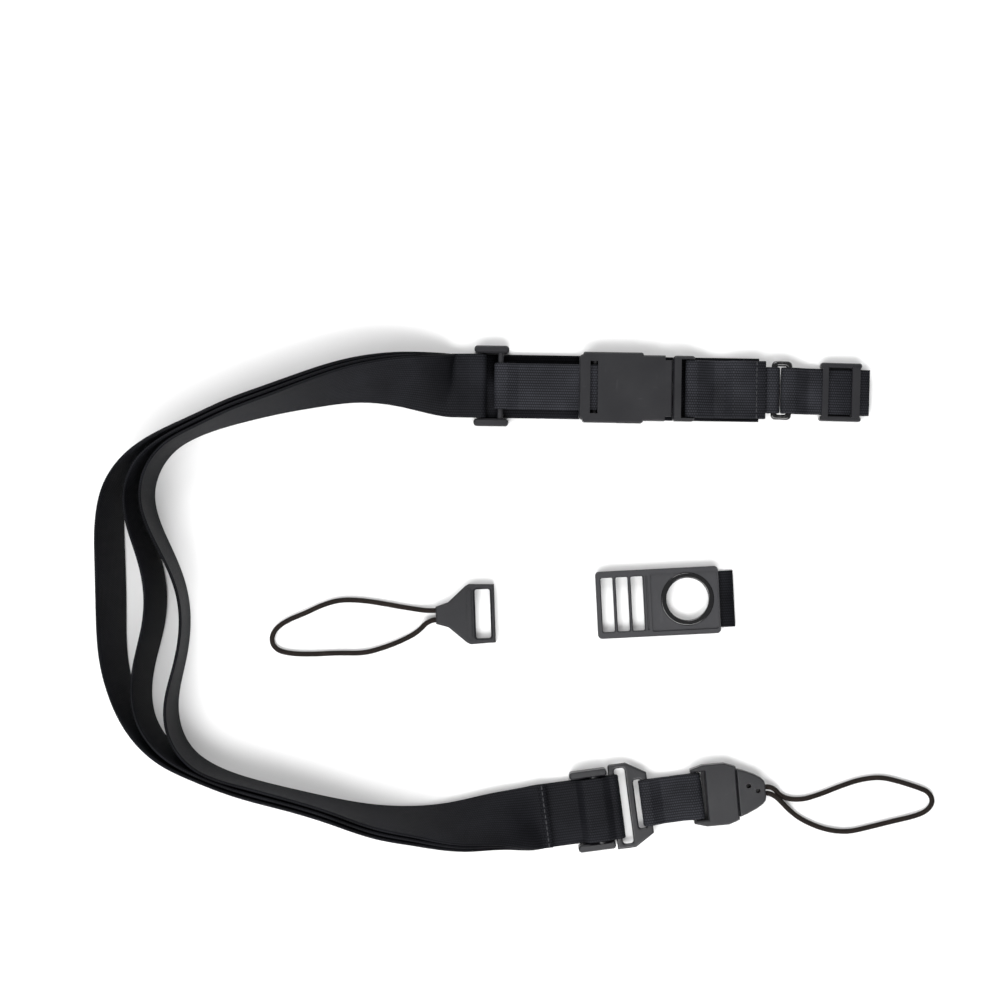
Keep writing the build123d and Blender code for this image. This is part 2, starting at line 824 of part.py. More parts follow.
# ================================================================ spare loop connector
with BuildPart() as spare_connector:
    with BuildSketch(spare_line):
        with BuildLine():
            Polyline(
                (0, -3.4),
                (5.0, -5.0),
                (spare_frame_start, -spare_half_width + 0.8),
                (spare_frame_start + 1.6, -spare_half_width),
                (spare_frame_end, -spare_half_width + 0.4),
                (spare_frame_end, spare_half_width - 0.4),
                (spare_frame_start + 1.6, spare_half_width),
                (spare_frame_start, spare_half_width - 0.8),
                (5.0, 5.0),
                (0, 3.4),
                close=True,
            )
        make_face()
        with Locations(((spare_frame_start + spare_frame_end) / 2 + 1.0, 0)):
            RectangleRounded(*spare_slot, 0.9, mode=Mode.SUBTRACT)
    extrude(amount=spare_thick)
    chamfer(spare_connector.edges().group_by(Axis.Z)[-1], 0.7)
    # A raised ridge in front of the slot.
    with BuildSketch(spare_line.offset(spare_thick)):
        with Locations((spare_frame_start + 1.4, 0)):
            RectangleRounded(1.8, spare_slot[1], 0.8)
    extrude(amount=0.7)
finish(spare_connector.part, "spare_connector")

# =========================================================================== ladder plate
plate_floor = ply + 0.1
slot_centres = [-20.9 + i * plate_slot_pitch for i in range(3)]
eyelet_place = (11.0, 0.8)
with BuildPart() as ladder_plate:
    with BuildSketch(plate_line.offset(plate_floor)):
        with Locations((plate_middle, 0)):
            RectangleRounded(*plate_size, 1.6)
        with Locations(*[(place, 0) for place in slot_centres]):
            RectangleRounded(*plate_slot, 0.6, mode=Mode.SUBTRACT)
        with Locations(eyelet_place):
            Circle(eyelet_radius + eyelet_rim, mode=Mode.SUBTRACT)
    extrude(amount=plate_thick)
    chamfer(ladder_plate.edges().group_by(Axis.Z)[-1], 0.4)
    # The recessed face round the eyelet, between raised side rails.
    with BuildSketch(plate_line.offset(plate_floor + plate_thick - 0.7)):
        with Locations((eyelet_place[0] - 1.2, 0)):
            RectangleRounded(plate_size[1], plate_size[1] - 3.6, 1.0)
        with Locations((plate_groove, 0)):
            Rectangle(0.9, plate_slot[1])
    extrude(amount=1.0, mode=Mode.SUBTRACT)
finish(ladder_plate.part, "ladder_plate")

with BuildPart() as eyelet:
    with BuildSketch(plate_line.offset(plate_floor)):
        with Locations(eyelet_place):
            Circle(eyelet_radius + eyelet_rim)
            Circle(eyelet_radius, mode=Mode.SUBTRACT)
    extrude(amount=plate_thick - 0.3)
    fillet(eyelet.edges().group_by(Axis.Z)[-1], 0.5)
finish(eyelet.part, "eyelet")

with BuildPart() as plate_tab:
    with BuildSketch(plate_line):
        with Locations((tab_middle, 0)):
            Rectangle(tab_length, tab_width)
    extrude(amount=ply)
finish(plate_tab.part, "plate_tab")
with BuildPart() as plate_pad:
    with BuildSketch(plate_line):
        with Locations((-24.3, 0)):
            Rectangle(1.6, tab_width)
        with Locations((-3.9, 0)):
            Rectangle(4.0, tab_width)
    extrude(amount=ply)
finish(plate_pad.part, "plate_pads")


# ================================================================================== cords
def cord_tube(route, name):
    """A cord of straight runs joined by arcs as large as the runs allow."""
    points = [Vector(*p) for p in route]
    radii = []
    for before, here, after in zip(points, points[1:], points[2:]):
        turn = (here - before).get_angle(after - here)
        shorter = min((here - before).length, (after - here).length)
        radii.append(0.45 * shorter / tan(radians(turn / 2)))
    with BuildPart() as tube:
        with BuildLine() as path:
            FilletPolyline(*points, radius=radii)
        with BuildSketch(Plane(origin=path.line @ 0, z_dir=path.line % 0)):
            Circle(cord_diameter / 2)
        sweep(path=path.line)
    length = path.wires()[0].length
    section = pi * (cord_diameter / 2) ** 2
    print(
        f"{name}: length {length:.1f},"
        f" volume ratio {tube.part.volume / section / length:.4f},"
        f" radii {', '.join(f'{r:.1f}' for r in radii)}"
    )
    return tube.part


def on_table(places):
    """Cord points that lie on the table, moved with the whole layout."""
    return [(*shifted((x, y, 0))[:2], cord_diameter / 2) for x, y in places]


lower_route = [
    (119.8, -79.6),
    (127.2, -80.6),
    (135.2, -78.2),
    (143.0, -75.0),
    (151.0, -72.3),
    (159.2, -71.3),
    (166.4, -73.0),
    (173.4, -75.2),
    (178.6, -77.2),
    (180.3, -81.0),
    (178.0, -84.8),
    (172.8, -87.0),
    (164.8, -88.8),
    (155.2, -91.2),
    (146.0, -93.4),
    (137.4, -92.4),
    (129.6, -89.4),
    (123.4, -85.4),
]
exit_level = connector_level
exit_left = connector_line.from_local_coords((nose_end, cord_hole_spacing, exit_level))
exit_right = connector_line.from_local_coords((nose_end, -cord_hole_spacing, exit_level))
lead = 3.0
lead_end = nose_end + lead
lead_left = connector_line.from_local_coords((lead_end, cord_hole_spacing, exit_level))
lead_right = connector_line.from_local_coords((lead_end, -cord_hole_spacing, exit_level))
lower_loop = cord_tube(
    [exit_left, lead_left, *on_table(lower_route), lead_right, exit_right],
    "lower_loop",
)
finish(lower_loop, "lower_loop")

spare_route = [
    (-25.4, -4.4),
    (-33.0, -3.2),
    (-41.0, -1.7),
    (-49.0, -0.6),
    (-57.0, -0.5),
    (-64.0, -2.6),
    (-70.8, -5.9),
    (-77.2, -8.4),
    (-82.2, -11.6),
    (-84.4, -16.0),
    (-82.6, -20.2),
    (-77.6, -21.9),
    (-68.8, -22.3),
    (-57.8, -21.7),
    (-47.6, -21.9),
    (-40.4, -20.0),
    (-32.8, -17.2),
    (-25.6, -13.4),
]
spare_level = spare_thick / 2
spare_left = spare_line.from_local_coords((0, 1.9, spare_level))
spare_right = spare_line.from_local_coords((0, -1.9, spare_level))
lead_in = spare_line.from_local_coords((-lead, 1.9, spare_level))
lead_out = spare_line.from_local_coords((-lead, -1.9, spare_level))
spare_loop = cord_tube(
    [spare_left, lead_in, *on_table(spare_route), lead_out, spare_right],
    "spare_loop",
)
finish(spare_loop, "spare_loop")
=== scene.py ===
"""Looks for a carrying strap set.

It has webbing, sliders, a buckle, rings, cord connectors and a plate.

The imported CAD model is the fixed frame. Every length here is in metres, in that frame.
"""

import logging
from collections.abc import Sequence
from dataclasses import dataclass, field
from enum import Enum
from math import cos, pi, radians, sin, tan
from typing import Any, ClassVar

import bmesh
import bpy
import numpy as np
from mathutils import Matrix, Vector

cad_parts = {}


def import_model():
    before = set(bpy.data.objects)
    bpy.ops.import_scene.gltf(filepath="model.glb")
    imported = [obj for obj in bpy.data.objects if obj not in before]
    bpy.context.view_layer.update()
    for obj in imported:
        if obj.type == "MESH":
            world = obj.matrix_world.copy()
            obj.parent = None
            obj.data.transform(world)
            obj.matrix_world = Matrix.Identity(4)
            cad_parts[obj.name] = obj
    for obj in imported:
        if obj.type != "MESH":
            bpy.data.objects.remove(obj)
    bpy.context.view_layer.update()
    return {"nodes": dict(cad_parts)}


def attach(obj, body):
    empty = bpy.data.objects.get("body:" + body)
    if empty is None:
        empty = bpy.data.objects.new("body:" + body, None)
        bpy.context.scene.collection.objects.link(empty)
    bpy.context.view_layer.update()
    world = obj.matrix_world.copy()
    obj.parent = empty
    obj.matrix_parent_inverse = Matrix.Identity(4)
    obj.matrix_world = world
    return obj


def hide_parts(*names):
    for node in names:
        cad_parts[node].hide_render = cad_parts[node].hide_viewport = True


log = logging.getLogger("strap_set")

Pair = tuple[float, float]
Triple = tuple[float, float, float]
Colour = tuple[float, float, float]

# How far the layout is moved to centre the set.
LAYOUT_SHIFT = Vector((-0.0019, 0.0, 0.0))

# Webbing and the levels that its plies lie at.
WIDE = 0.0254
NARROW = 0.0184
PLY = 0.0012
PLY_STEP = 0.0013
STANDING_FLOOR = 0.0011
LOW_LEVEL = 0.0017
SHORTEST_STEP = 0.00005


class Slot(Enum):
    """The record's material slots."""

    WEBBING = "webbing"
    THREAD = "thread"
    BLACK = "black_plastic"
    GREY = "grey_plastic"
    WIRE = "dark_wire"
    CORD = "cord"


# ------------------------------------------------------------------- nodes and finishes
class Term:
    """A number at a node's socket. Arithmetic on it adds Math nodes."""

    def __init__(self, bench: "NodeBench", socket: bpy.types.NodeSocket) -> None:
        """Keeps the socket and the bench that its nodes are made on."""
        self.bench = bench
        self.socket = socket

    def _math(self, operation: str, *values: Any) -> "Term":
        """Adds one Math node.

        Args:
            operation: The Math node's operation.
            values: What its inputs take, in order.

        Returns:
            The node's result.
        """
        sockets = dict(enumerate(values))
        made = self.bench.node("ShaderNodeMath", {"operation": operation}, sockets)
        return Term(self.bench, made.outputs[0])

    def __add__(self, other: "Term | float") -> "Term":
        """The sum."""
        return self._math("ADD", self, other)

    def __radd__(self, other: float) -> "Term":
        """The sum, with a plain number first."""
        return self._math("ADD", other, self)

    def __sub__(self, other: "Term | float") -> "Term":
        """The difference."""
        return self._math("SUBTRACT", self, other)

    def __rsub__(self, other: float) -> "Term":
        """The difference, from a plain number."""
        return self._math("SUBTRACT", other, self)

    def __mul__(self, other: "Term | float") -> "Term":
        """The product."""
        return self._math("MULTIPLY", self, other)

    def __rmul__(self, other: float) -> "Term":
        """The product, with a plain number first."""
        return self._math("MULTIPLY", other, self)

    def __truediv__(self, other: "Term | float") -> "Term":
        """The quotient."""
        return self._math("DIVIDE", self, other)

    def wave(self) -> "Term":
        """The sine, in radians."""
        return self._math("SINE", self)

    def whole(self) -> "Term":
        """The whole number below."""
        return self._math("FLOOR", self)

    def size(self) -> "Term":
        """The number without its sign."""
        return self._math("ABSOLUTE", self)

    def larger(self, other: "Term | float") -> "Term":
        """The larger of two numbers."""
        return self._math("MAXIMUM", self, other)

    def between(self, low: float, high: float) -> "Term":
        """How far the number has come from low to high, from 0 to 1 and eased."""
        made = self.bench.node(
            "ShaderNodeMapRange",
            {"interpolation_type": "SMOOTHSTEP"},
            {"Value": self, "From Min": low, "From Max": high},
        )
        return Term(self.bench, made.outputs["Result"])


class NodeBench:
    """Makes nodes in one tree."""

    def __init__(self, tree: bpy.types.NodeTree) -> None:
        """Takes the tree that nodes are made in."""
        self.tree = tree

    def node(
        self,
        kind: str,
        settings: dict[str, Any] | None = None,
        sockets: dict[int | str, Any] | None = None,
    ) -> bpy.types.Node:
        """Makes a node, sets it up and feeds its sockets.

        Args:
            kind: The node's type.
            settings: Its own settings, which are set first.
            sockets: A value, a Term or a socket for each input, by name or number.

        Returns:
            The node.
        """
        made = self.tree.nodes.new(kind)
        for key, value in (settings or {}).items():
            setattr(made, key, value)
        for key, value in (sockets or {}).items():
            if isinstance(value, Term):
                value = value.socket
            if isinstance(value, bpy.types.NodeSocket):
                self.tree.links.new(value, made.inputs[key])
            else:
                made.inputs[key].default_value = value
        return made


class Surface:
    """One material in the making."""

    def __init__(self, name: str) -> None:
        """Starts a material of that name, empty but for its output."""
        self.material = bpy.data.materials.new(name)
        self.material.use_nodes = True
        self.material.node_tree.nodes.clear()
        self.bench = NodeBench(self.material.node_tree)

    def place(self) -> bpy.types.NodeSocket:
        """Where a point is on its object, in metres."""
        return self.bench.node("ShaderNodeTexCoord").outputs["Object"]

    def weave_place(self) -> tuple[Term, Term]:
        """A point's place across a strap or round a cord, and its place along it."""
        uv = self.bench.node("ShaderNodeUVMap", {"uv_map": Webbing.UV})
        split = self.bench.node("ShaderNodeSeparateXYZ", {}, {0: uv.outputs[0]})
        return Term(self.bench, split.outputs[0]), Term(self.bench, split.outputs[1])

    def noise(
        self, scale: float, detail: float, stretch: Triple = (1.0, 1.0, 1.0)
    ) -> Term:
        """Cloudy noise over the piece.

        Args:
            scale: How many clouds a metre holds.
            detail: How many finer layers it has.
            stretch: How the pattern is squeezed along each axis.

        Returns:
            The noise, about 0.5 on average.
        """
        mapping = self.bench.node(
            "ShaderNodeMapping", {}, {"Vector": self.place(), "Scale": stretch}
        )
        made = self.bench.node(
            "ShaderNodeTexNoise",
            {},
            {"Vector": mapping.outputs[0], "Scale": scale, "Detail": detail},
        )
        return Term(self.bench, made.outputs[0])

    def blend(self, share: Term, low: Colour, high: Colour) -> bpy.types.NodeSocket:
        """A colour that goes from low to high as share goes from 0 to 1."""
        made = self.bench.node(
            "ShaderNodeMix",
            {"data_type": "RGBA"},
            {0: share, 6: (*low, 1.0), 7: (*high, 1.0)},
        )
        return made.outputs[2]

    def bump(self, height: Term, depth: float, strength: float) -> Any:
        """A normal that follows a height.

        Args:
            height: The height, from 0 to 1.
            depth: How deep 1 is, in metres.
            strength: How much of it shows.

        Returns:
            The normal's socket.
        """
        made = self.bench.node(
            "ShaderNodeBump",
            {},
            {"Strength": strength, "Distance": depth, "Height": height},
        )
        return made.outputs[0]

    def finish(self, sockets: dict[int | str, Any]) -> bpy.types.Material:
        """Ends the material in a Principled shader with those sockets."""
        shader = self.bench.node("ShaderNodeBsdfPrincipled", {}, sockets)
        self.bench.node("ShaderNodeOutputMaterial", {}, {0: shader.outputs[0]})
        return self.material


@dataclass(frozen=True)
class WovenNylon:
    """Plain-woven nylon webbing: ribs of warp along it, crossed by the weft."""

    name: str
    deep: Colour
    raised: Colour
    rib: float = 0.00105
    weft: float = 0.0009
    depth: float = 0.00016
    gloss: float = 0.06

    def material(self) -> bpy.types.Material:
        """Makes the material."""
        surface = Surface(self.name)
        across, along = surface.weave_place()
        rib_place = across / self.rib
        rib = (rib_place * pi).wave().size()
        step = (along / self.weft + rib_place.whole() * 0.5) * (2 * pi)
        weave = rib * 0.6 + (step.wave() * 0.5 + 0.5) * 0.4
        cloud = surface.noise(55.0, 3.0)
        # Painted shade: the colour goes darker down in the weave's hollows, by the
        # weave's height, and the cloud adds tone that differs at random.
        share = (weave * 0.75 + (cloud - 0.5) * 0.7).between(0.1, 0.95)
        fuzz = surface.noise(2600.0, 1.0)
        return surface.finish(
            {
                "Base Color": surface.blend(share, self.deep, self.raised),
                "Roughness": cloud * 0.25 + 0.5,
                "Specular IOR Level": self.gloss,
                "Normal": surface.bump(weave + fuzz * 0.15, self.depth, 0.75),
            }
        )


@dataclass(frozen=True)
class MouldedPlastic:
    """Injection-moulded acetal: fine texture, faint flow marks and scuffs from wear."""

    name: str
    colour: Colour
    scuffed: Colour
    roughness: float = 0.36
    grain: float = 0.00003

    def material(self) -> bpy.types.Material:
        """Makes the material."""
        surface = Surface(self.name)
        texture = surface.noise(4200.0, 2.0)
        cloud = surface.noise(90.0, 4.0)
        scratches = surface.noise(420.0, 3.0, (1.0, 0.12, 1.0)).between(0.64, 0.78)
        scuffs = surface.noise(700.0, 5.0, (0.2, 1.0, 1.0)).between(0.66, 0.8)
        wear = scratches.larger(scuffs) * cloud.between(0.42, 0.66)
        return surface.finish(
            {
                "Base Color": surface.blend(wear, self.colour, self.scuffed),
                "Roughness": cloud * 0.14 + wear * 0.2 + (self.roughness - 0.07),
                "Specular IOR Level": 0.5,
                "Normal": surface.bump(texture - wear * 0.4, self.grain, 0.6),
            }
        )


@dataclass(frozen=True)
class LacqueredWire:
    """Wire with a gloss lacquer that pools and dulls a little."""

    name: str
    colour: Colour
    worn: Colour

    def material(self) -> bpy.types.Material:
        """Makes the material."""
        surface = Surface(self.name)
        cloud = surface.noise(160.0, 3.0)
        rubbed = surface.noise(900.0, 3.0).between(0.62, 0.75)
        return surface.finish(
            {
                "Base Color": surface.blend(rubbed, self.colour, self.worn),
                "Roughness": cloud * 0.12 + rubbed * 0.2 + 0.12,
                "Coat Weight": 0.5,
                "Coat Roughness": 0.12,
                "Normal": surface.bump(cloud, 0.00008, 0.5),
            }
        )


@dataclass(frozen=True)
class SewingThread:
    """Twisted bonded thread."""

    name: str
    deep: Colour
    raised: Colour

    def material(self) -> bpy.types.Material:
        """Makes the material."""
        surface = Surface(self.name)
        twist = surface.noise(5200.0, 1.0, (1.0, 0.35, 1.0))
        return surface.finish(
            {
                "Base Color": surface.blend(twist, self.deep, self.raised),
                "Roughness": twist * 0.2 + 0.45,
                "Normal": surface.bump(twist, 0.00006, 0.7),
            }
        )


@dataclass(frozen=True)
class BraidedCord:
    """A round braid: strands that wind both ways and cross over each other."""

    name: str
    deep: Colour
    raised: Colour
    strands: int = 5
    lay: float = 0.0042

    def material(self) -> bpy.types.Material:
        """Makes the material."""
        surface = Surface(self.name)
        around, along = surface.weave_place()
        turn = around * float(self.strands)
        climb = along / self.lay * float(self.strands)
        left = ((turn + climb) * pi).wave().size()
        right = ((turn - climb) * pi).wave().size()
        braid = left * right
        cloud = surface.noise(260.0, 3.0)
        # Painted shade: the colour goes darker in the hollows between the strands, by
        # the braid's height, and the cloud adds tone that differs at random.
        share = (braid * 0.8 + (cloud - 0.5) * 0.6).between(0.0, 0.85)
        return surface.finish(
            {
                "Base Color": surface.blend(share, self.deep, self.raised),
                "Roughness": cloud * 0.2 + 0.5,
                "Specular IOR Level": 0.1,
                "Normal": surface.bump(braid, 0.0002, 0.7),
            }
        )


@dataclass(frozen=True)
class PaintedTable:
    """A matt pale table top."""

    name: str
    colour: Colour

    def material(self) -> bpy.types.Material:
        """Makes the material."""
        surface = Surface(self.name)
        cloud = surface.noise(3.0, 2.0)
        return surface.finish(
            {
                "Base Color": (*self.colour, 1.0),
                "Roughness": cloud * 0.1 + 0.8,
                "Specular IOR Level": 0.2,
            }
        )


@dataclass(frozen=True)
class Finishes:
    """Every material of the set, made once."""

    webbing: bpy.types.Material
    narrow: bpy.types.Material
    thread: bpy.types.Material
    black: bpy.types.Material
    grey: bpy.types.Material
    wire: bpy.types.Material
    cord: bpy.types.Material

    @classmethod
    def make(cls) -> "Finishes":
        """Makes the materials."""
        return cls(
            webbing=WovenNylon(
                "black_nylon_webbing", (0.0022, 0.0023, 0.003), (0.0155, 0.016, 0.0195)
            ).material(),
            narrow=WovenNylon(
                "narrow_nylon_webbing", (0.005, 0.0052, 0.0063), (0.036, 0.037, 0.044)
            ).material(),
            thread=SewingThread(
                "black_bonded_thread", (0.006, 0.006, 0.008), (0.03, 0.031, 0.036)
            ).material(),
            black=MouldedPlastic(
                "black_acetal", (0.0085, 0.0085, 0.0105), (0.03, 0.03, 0.034)
            ).material(),
            grey=MouldedPlastic(
                "grey_acetal", (0.021, 0.021, 0.024), (0.045, 0.045, 0.05), 0.42
            ).material(),
            wire=LacqueredWire(
                "lacquered_wire", (0.0025, 0.0025, 0.003), (0.012, 0.012, 0.013)
            ).material(),
            cord=BraidedCord(
                "brown_black_cord", (0.003, 0.0022, 0.0018), (0.026, 0.019, 0.016)
            ).material(),
        )

    def of(self, slot: Slot) -> bpy.types.Material:
        """The material of a slot."""
        return {
            Slot.WEBBING: self.webbing,
            Slot.THREAD: self.thread,
            Slot.BLACK: self.black,
            Slot.GREY: self.grey,
            Slot.WIRE: self.wire,
            Slot.CORD: self.cord,
        }[slot]


# --------------------------------------------------------------------- pieces and lines
def add_piece(
    name: str,
    points: np.ndarray,
    faces: list[list[int]],
    uvs: np.ndarray,
    material: bpy.types.Material,
) -> bpy.types.Object:
    """Makes a smooth closed mesh with a UV map, and adds it to the scene.

    Args:
        name: The piece's name.
        points: Its corners.
        faces: Its faces, as corner numbers.
        uvs: A UV place for each corner.
        material: Its finish.

    Returns:
        The object, at the origin.
    """
    mesh = bpy.data.meshes.new(name)
    mesh.from_pydata(points.tolist(), [], faces)
    layer = mesh.uv_layers.new(name=Webbing.UV)
    corners = np.zeros(len(mesh.loops), np.int32)
    mesh.loops.foreach_get("vertex_index", corners)
    layer.data.foreach_set("uv", uvs[corners].astype(np.float32).ravel())
    mesh.polygons.foreach_set("use_smooth", [True] * len(mesh.polygons))
    shell = bmesh.new()
    shell.from_mesh(mesh)
    bmesh.ops.recalc_face_normals(shell, faces=shell.faces)
    shell.to_mesh(mesh)
    shell.free()
    mesh.materials.append(material)
    piece = bpy.data.objects.new(name, mesh)
    bpy.context.scene.collection.objects.link(piece)
    return piece


def tube_faces(rings: int, around: int) -> list[list[int]]:
    """The faces of a closed tube: its sides, ring by ring, and its two ends."""
    faces = [
        [
            ring * around + k,
            ring * around + (k + 1) % around,
            (ring + 1) * around + (k + 1) % around,
            (ring + 1) * around + k,
        ]
        for ring in range(rings - 1)
        for k in range(around)
    ]
    last = (rings - 1) * around
    return [*faces, list(range(around))[::-1], list(range(last, last + around))]


@dataclass(frozen=True)
class TableLine:
    """A straight line on the table that webbing and its fittings are threaded on."""

    start: Pair
    heading: float

    def along(self) -> Vector:
        """The way that the line runs."""
        return Vector((cos(radians(self.heading)), sin(radians(self.heading)), 0.0))

    def aside(self) -> Vector:
        """The way to the line's left."""
        return Vector((-sin(radians(self.heading)), cos(radians(self.heading)), 0.0))

    def place(self, distance: float, left: float = 0.0, height: float = 0.0) -> Vector:
        """A point by its distance along the line, to its left and above the table."""
        start = Vector((*self.start, height))
        return start + self.along() * distance + self.aside() * left

    def further(self, distance: float, heading: float) -> "TableLine":
        """A line that starts further along and has its own heading."""
        start = self.place(distance)
        return TableLine((start.x, start.y), heading)


UPPER_LINE = TableLine((LAYOUT_SHIFT.x, 0.0849), -0.9)
LOWER_LINE = TableLine((0.0237 + LAYOUT_SHIFT.x, -0.0868), 7.5)
TERMINAL_LINE = UPPER_LINE.further(0.1162, -1.6)
CONNECTOR_LINE = LOWER_LINE.further(0.0623, 5.0)
PLATE_LINE = TableLine((0.071 + LAYOUT_SHIFT.x, -0.0014), 2.9)


def bent(corners: Sequence[Pair], radii: Sequence[float], steps: int = 8) -> list[Pair]:
    """A strap's side-on line, bent round at each corner between its ends.

    Args:
        corners: Where the straight parts would meet, with both ends.
        radii: Each bend's radius.
        steps: How many short pieces a bend has.

    Returns:
        Points along the line.
    """
    line = [corners[0]]
    for before, here, after, radius in zip(corners, corners[1:], corners[2:], radii):
        point = Vector(here)
        back = (Vector(before) - point).normalized()
        onward = (Vector(after) - point).normalized()
        half = back.angle(onward) / 2
        middle = point + (back + onward).normalized() * (radius / sin(half))
        start = point + back * (radius / tan(half)) - middle
        end = point + onward * (radius / tan(half)) - middle
        sweep = start.angle(end)
        for k in range(steps + 1):
            share = k / steps
            spoke = start * sin((1 - share) * sweep) + end * sin(share * sweep)
            line.append(tuple(middle + spoke / sin(sweep)))
    return [*line, corners[-1]]


def smooth_through(
    points: np.ndarray, start_way: np.ndarray, end_way: np.ndarray, step: float
) -> tuple[np.ndarray, np.ndarray]:
    """A smooth line through points, with its ends' directions given.

    Args:
        points: What it goes through.
        start_way: Its direction at the first point.
        end_way: Its direction at the last point.
        step: About how far apart the results are.

    Returns:
        Points along the line, and its direction at each.
    """
    gaps = np.linalg.norm(np.diff(points, axis=0), axis=1)
    count = len(points)
    matrix, right = np.eye(count), np.zeros_like(points)
    right[0], right[-1] = start_way, end_way
    for i in range(1, count - 1):
        a, b = gaps[i - 1], gaps[i]
        matrix[i, i - 1 : i + 2] = b, 2 * (a + b), a
        rise = b * (points[i] - points[i - 1]) / a + a * (points[i + 1] - points[i]) / b
        right[i] = 3 * rise
    slopes = np.linalg.solve(matrix, right)
    places, ways = [], []
    for i, gap in enumerate(gaps):
        pieces = max(2, round(gap / step))
        last = i == count - 2
        for k in range(pieces + (1 if last else 0)):
            t = k / pieces
            p, q = points[i], points[i + 1]
            m, n = slopes[i] * gap, slopes[i + 1] * gap
            places.append(
                (2 * t**3 - 3 * t**2 + 1) * p
                + (t**3 - 2 * t**2 + t) * m
                + (3 * t**2 - 2 * t**3) * q
                + (t**3 - t**2) * n
            )
            ways.append(
                (6 * t**2 - 6 * t) * (p - q)
                + (3 * t**2 - 4 * t + 1) * m
                + (3 * t**2 - 2 * t) * n
            )
    return np.array(places), np.array(ways)


@dataclass
class Webbing:
    """A length of webbing: stations along its middle, and how it lies across at each.

    Attributes:
        width: Its width.
        thickness: Its thickness.
        columns: How many faces it has across its top.
        groove: How deep the line beside each selvedge is.
        groove_inset: How far that line is from the edge.
        groove_width: How wide that line is.
        middles: The stations' places.
        acrosses: The way across the webbing at each station.
    """

    UV: ClassVar[str] = "UVMap"

    width: float
    thickness: float = PLY
    columns: int = 24
    groove: float = 0.00006
    groove_inset: float = 0.0024
    groove_width: float = 0.0005
    middles: list[Vector] = field(default_factory=list)
    acrosses: list[Vector] = field(default_factory=list)

    def lay(self, middle: Vector, across: Vector) -> None:
        """Adds a station, unless it repeats the last one."""
        if self.middles and (middle - self.middles[-1]).length < SHORTEST_STEP:
            return
        self.middles.append(middle)
        self.acrosses.append(across)

    def fold(
        self,
        line: TableLine,
        corners: Sequence[Pair],
        radii: Sequence[float] = (),
        side: int = 1,
    ) -> "Webbing":
        """Lays the webbing over and under the fittings on a line.

        Args:
            line: The line.
            corners: Its side-on corners: distance along the line, and height.
            radii: Each bend's radius.
            side: 1 when it faces the line's left, and -1 when it faces right.

        Returns:
            The webbing.
        """
        for distance, height in bent(corners, radii):
            self.lay(line.place(distance, 0.0, height), line.aside() * side)
        return self

    def length(self) -> float:
        """How long the webbing is."""
        return sum((b - a).length for a, b in zip(self.middles, self.middles[1:]))

    def outline(self) -> np.ndarray:
        """The section: along the underside, round the edge and back over the top."""
        half, thick = self.width / 2, self.thickness / 2
        flat = np.linspace(-(half - thick), half - thick, self.columns + 1)
        away = np.abs(flat) - half + self.groove_inset
        dip = np.exp(-((away / self.groove_width) ** 2))
        height = thick - self.groove * dip
        turns = np.radians([-54, -18, 18, 54])
        out, rise = half - thick + thick * np.cos(turns), thick * np.sin(turns)
        edge = np.stack([out, rise], 1)
        under = np.stack([flat, -height], 1)
        over = np.stack([flat[::-1], height], 1)
        return np.concatenate([under, edge, over, -edge])

    def build(self, name: str, material: bpy.types.Material) -> bpy.types.Object:
        """Makes the webbing's mesh.

        Args:
            name: The piece's name.
            material: Its finish.

        Returns:
            The piece.
        """
        middles = np.array(self.middles)
        ways = np.gradient(middles, axis=0)
        ways /= np.linalg.norm(ways, axis=1)[:, None]
        acrosses = np.array(self.acrosses)
        acrosses -= ways * np.sum(ways * acrosses, axis=1)[:, None]
        acrosses /= np.linalg.norm(acrosses, axis=1)[:, None]
        ups = np.cross(ways, acrosses)
        outline = self.outline()
        points = (
            middles[:, None]
            + acrosses[:, None] * outline[None, :, :1]
            + ups[:, None] * outline[None, :, 1:]
        )
        steps = np.linalg.norm(np.diff(middles, axis=0), axis=1)
        along = np.concatenate([[0.0], np.cumsum(steps)])
        uvs = np.empty((len(middles), len(outline), 2))
        uvs[..., 0] = outline[None, :, 0] + self.width / 2
        uvs[..., 1] = along[:, None]
        faces = tube_faces(len(middles), len(outline))
        return add_piece(
            name, points.reshape(-1, 3), faces, uvs.reshape(-1, 2), material
        )


